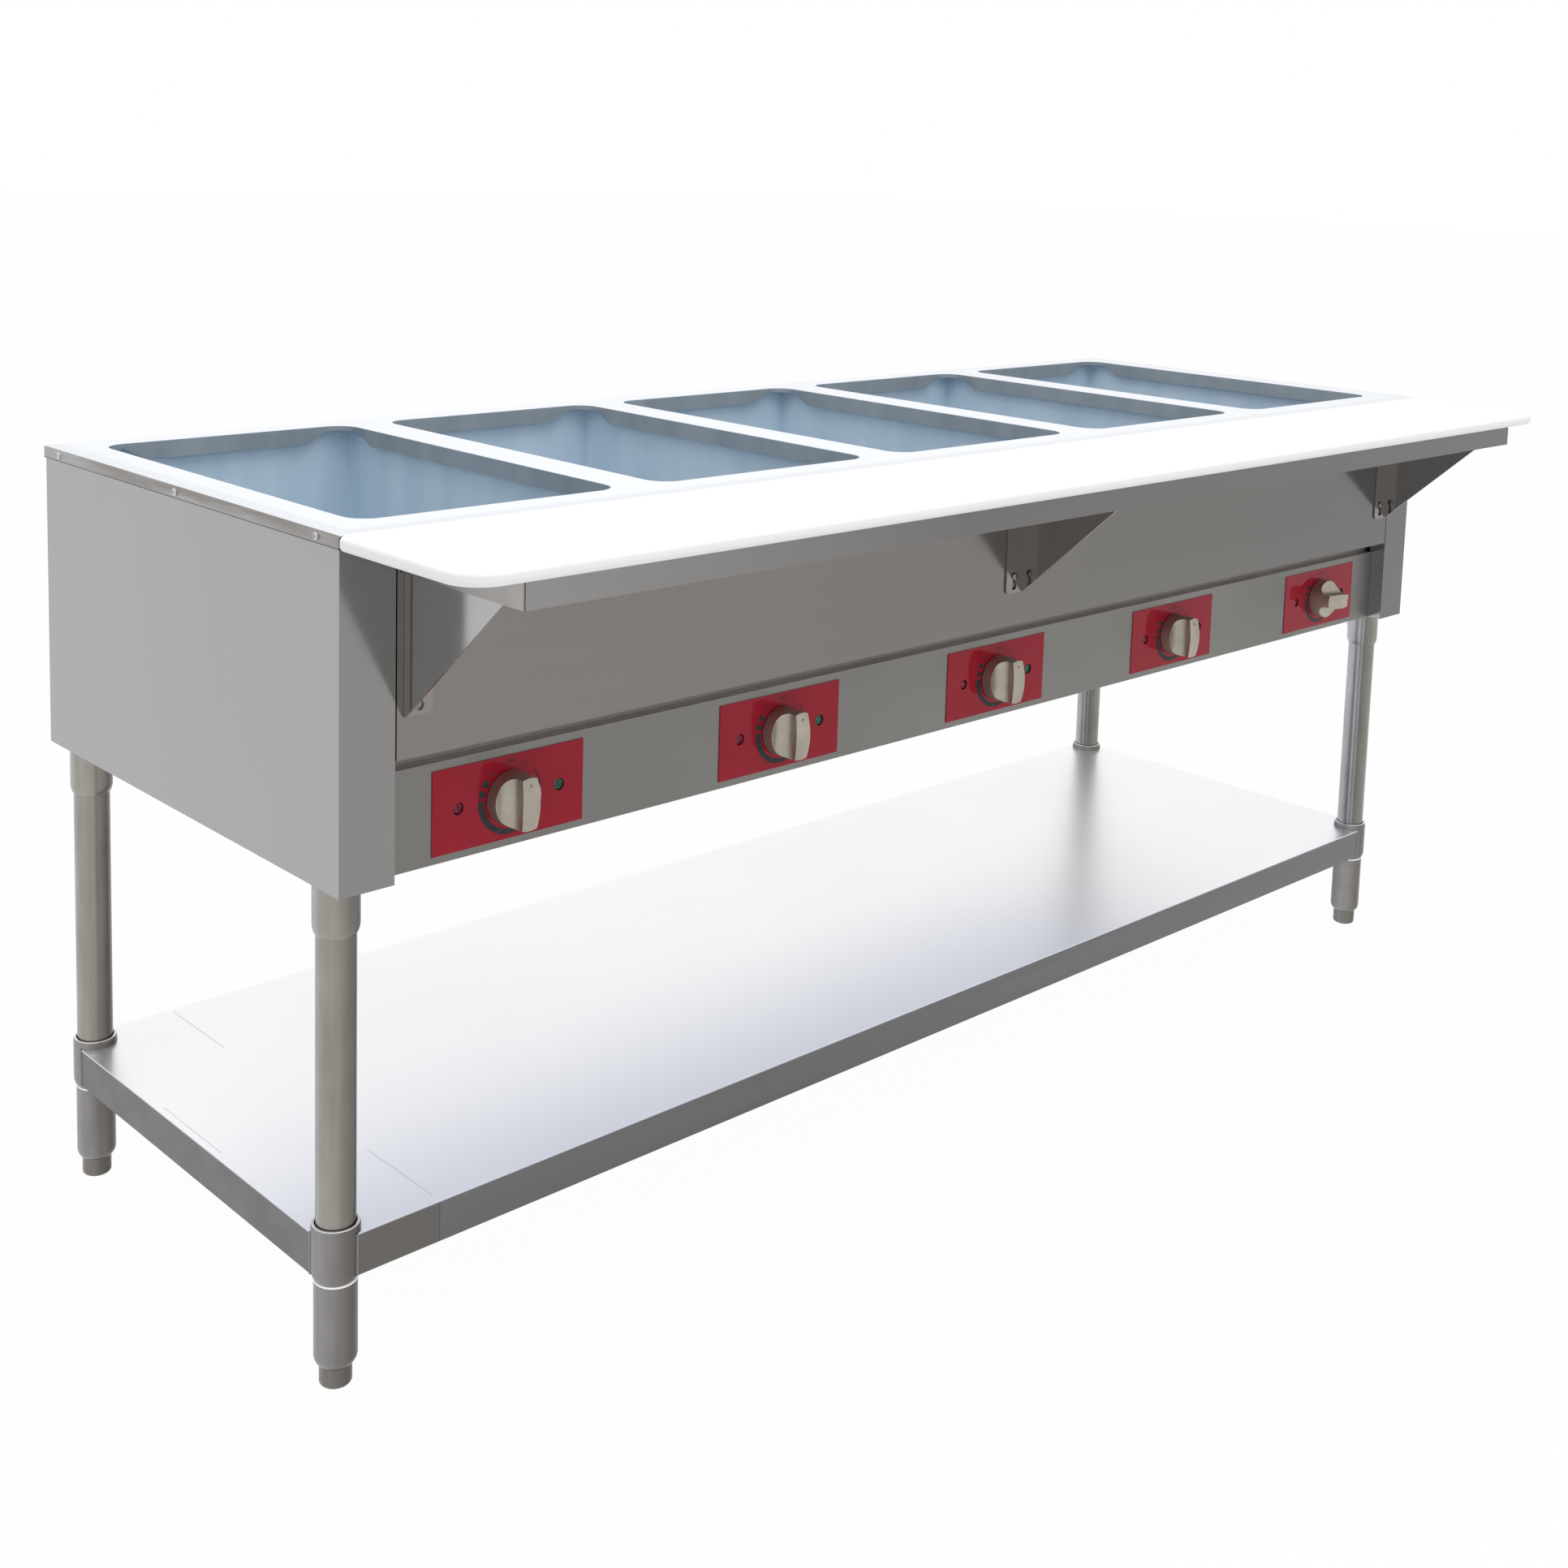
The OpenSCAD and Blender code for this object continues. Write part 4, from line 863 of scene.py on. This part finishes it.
def dress_body():
    # The columns' front faces get darker tones than the end faces: painted shade, darker on the right
    # column.
    left_column_shade = in_front_of(COLUMN_Y, rgb(140, 138, 136))
    right_column_shade = in_front_of(COLUMN_Y, rgb(118, 115, 117))
    # The fascia darkens towards its right end: painted shade.
    fascia_shade = fading(*FASCIA_SHADE_SPAN, rgb(114, 114, 112))
    # The top face of the control panel's return is painted light, far paler than its front.
    panel_return_light = on_return(PANEL_TOP, PANEL_Y, rgb(226, 220, 220))
    dress(deck_steel(), "top_sheet")
    dress(brushed("end_steel", END_GREY, grain="Z", roughness=0.17, streak=0.008, repaint=left_column_shade),
          "left_end_panel")
    dress(brushed("right_end_steel", END_GREY, grain="Z", roughness=0.17, streak=0.008, repaint=right_column_shade),
          "right_end_panel")
    dress(brushed("back_steel", rgb(165, 166, 168), streak=0.05), "back_panel")
    dress(brushed("galvanised_steel", rgb(236, 237, 240), roughness=0.4, streak=0.05, metallic=0.4),
          "bottom_pan")
    dress(brushed("front_steel", rgb(132, 127, 123), roughness=0.18, streak=0.015, repaint=fascia_shade),
          "front_fascia")
    dress(brushed("control_steel", rgb(133, 131, 128), roughness=0.46, streak=0.015, repaint=panel_return_light),
          "control_panel")


def dress_shelves():
    dress(shelf_steel(), "work_shelf")
    dress(board_plastic(), "cutting_board")
    dress(bracket_steel("bracket_steel", rgb(178, 178, 179)), "left_bracket")
    # The far brackets get a darker copy of the left bracket's side tone: painted shade.
    dress(bracket_steel("far_bracket_shaded_steel", rgb(158, 156, 155)), "middle_bracket", "right_bracket")
    dress(undershelf_steel(), "undershelf")
    dress(brushed("channel_steel", rgb(150, 150, 150)), "shelf_channel")
    dress(brushed("screw_steel", rgb(190, 190, 190), grain="Z", roughness=0.25),
          "board_screws", "clamp_screws")


def dress_legs():
    dress(tube("tube_steel", TUBE_PAINTED_LIGHT, 1.0, right_tones=RIGHT_TUBE_PAINTED_LIGHT), "leg_tubes")
    dress(tube("socket_steel", TUBE_PAINTED_LIGHT, 1.12, right_tones=RIGHT_TUBE_PAINTED_LIGHT), "leg_sockets")
    dress(tube("sleeve_steel", SLEEVE_PAINTED_LIGHT, 1.0), "leg_sleeves")
    dress(tube("collar_steel", SLEEVE_PAINTED_LIGHT, 0.95, rim=COLLAR_TOP), "shelf_collars")
    dress(tube("foot_steel", TUBE_PAINTED_LIGHT, 0.62, roughness=0.34),
          "foot_front_left", "foot_front_right", "foot_back_left", "foot_back_right")


def dress_controls():
    dress(dial_paint(), "dial_plates")
    dress(satin_nickel(), *for_wells("knob"))
    dress(brushed("shaft_steel", rgb(170, 170, 170), grain="Y"), *for_wells("control_shaft"))
    dress(moulded("switch_plastic", rgb(60, 60, 64)), *for_wells("heat_switch"))
    dress(moulded("holder_plastic", rgb(40, 40, 40)), "lamp_holders")
    dress(moulded("gland_plastic", rgb(28, 28, 28)), "cord_gland")
    dress(moulded("wire_rubber", rgb(30, 30, 30), 0.6), "wiring_trunk")
    dress(moulded("terminal_ceramic", rgb(222, 214, 196), 0.6), "terminal_block")


def dress_wells():
    dress(liner_steel(), *for_wells("well_liner"))
    dress(brushed("element_sheath", rgb(96, 92, 88), grain="Y", roughness=0.45),
          *for_wells("heating_element"))
    dress(brushed("support_steel", rgb(150, 150, 150)), "element_supports")
    dress(mineral_wool(), "well_insulation")


def make_details():
    red = lens_plastic("lens_red", rgb(96, 4, 28), rgb(158, 52, 80))
    green = lens_plastic("lens_green", rgb(28, 74, 60), rgb(54, 112, 92))
    make_deck_screws(brushed("deck_screw_steel", rgb(205, 205, 206), grain="Z", roughness=0.2))
    make_hanging_screws(brushed("hanging_screw_steel", rgb(150, 146, 142), grain="Z", roughness=0.25))
    make_lenses("red_lens_crowns", "red_lenses", red)
    make_lenses("green_lens_crowns", "green_lenses", green)
    make_print(print_ink())
    make_film_edges(film_edge())
    make_weld_beads(brushed("weld_steel", rgb(134, 132, 131), grain="Z", roughness=0.3, streak=0.12))
    make_panel_hem(brushed("hem_steel", rgb(176, 166, 164), roughness=0.5, streak=0.02, metallic=0.2))
    make_neck_rings(brushed("ring_steel", rgb(235, 234, 236), grain="Z", roughness=0.12))


# Stage and light

FLOOR_HALF = 30.0
FLOOR_WHITE = (0.9, 0.9, 0.9, 1.0)
BACKGROUND_SHARE = 0.97
SKY_WHITE = (1.0, 1.0, 1.0, 1.0)
SKY_LIGHT = 0.72
LAMP_PLACE = (-0.6, -0.8, 3.6)
LAMP_TARGET = (0.0, 0.0, 0.5)
LAMP_SIZE = (3.0, 2.0)
LAMP_POWER = 60.0


def seen_directly(tree):
    """1 for the rays that see the background itself: camera, glossy and transmission rays."""
    path = tree.nodes.new("ShaderNodeLightPath")
    total = path.outputs["Is Camera Ray"]
    for name in ("Is Glossy Ray", "Is Transmission Ray"):
        node = tree.nodes.new("ShaderNodeMath")
        node.operation = "MAXIMUM"
        tree.links.new(total, node.inputs[0])
        tree.links.new(path.outputs[name], node.inputs[1])
        total = node.outputs[0]
    return total


def floor_material():
    """A diffuse floor, shown close to white where it is seen directly."""
    material = bpy.data.materials.new("floor_white")
    material.use_nodes = True
    tree = material.node_tree
    tree.nodes.clear()
    out = tree.nodes.new("ShaderNodeOutputMaterial")
    diffuse = tree.nodes.new("ShaderNodeBsdfDiffuse")
    diffuse.inputs["Color"].default_value = FLOOR_WHITE
    white = tree.nodes.new("ShaderNodeEmission")
    share = tree.nodes.new("ShaderNodeMath")
    share.operation = "MULTIPLY"
    share.inputs[1].default_value = BACKGROUND_SHARE
    tree.links.new(seen_directly(tree), share.inputs[0])
    blend = tree.nodes.new("ShaderNodeMixShader")
    tree.links.new(share.outputs[0], blend.inputs[0])
    tree.links.new(diffuse.outputs[0], blend.inputs[1])
    tree.links.new(white.outputs[0], blend.inputs[2])
    tree.links.new(blend.outputs[0], out.inputs["Surface"])
    return material


def make_floor():
    mesh = bpy.data.meshes.new("floor")
    corners = [(x * FLOOR_HALF, y * FLOOR_HALF, 0.0) for x, y in ((-1, -1), (1, -1), (1, 1), (-1, 1))]
    mesh.from_pydata(corners, [], [(0, 1, 2, 3)])
    mesh.materials.append(floor_material())
    floor = bpy.data.objects.new("floor", mesh)
    bpy.context.scene.collection.objects.link(floor)


def make_world():
    world = bpy.data.worlds.new("studio")
    world.use_nodes = True
    bpy.context.scene.world = world
    tree = world.node_tree
    background = tree.nodes["Background"]
    background.inputs["Color"].default_value = SKY_WHITE
    level = tree.nodes.new("ShaderNodeMapRange")
    level.inputs["To Min"].default_value = SKY_LIGHT
    level.inputs["To Max"].default_value = 1.0
    tree.links.new(seen_directly(tree), level.inputs["Value"])
    tree.links.new(level.outputs[0], background.inputs["Strength"])


def make_lamp():
    data = bpy.data.lights.new("top_lamp", "AREA")
    data.shape = "RECTANGLE"
    data.size, data.size_y = LAMP_SIZE
    data.energy = LAMP_POWER
    lamp = bpy.data.objects.new("top_lamp", data)
    aim = Vector(LAMP_TARGET) - Vector(LAMP_PLACE)
    turn = aim.to_track_quat("-Z", "Y").to_matrix().to_4x4()
    lamp.matrix_world = Matrix.Translation(LAMP_PLACE) @ turn
    bpy.context.scene.collection.objects.link(lamp)


make_camera()
dress_body()
dress_shelves()
dress_legs()
dress_controls()
dress_wells()
make_details()
make_floor()
make_world()
make_lamp()
bpy.context.scene.view_settings.view_transform = "Standard"
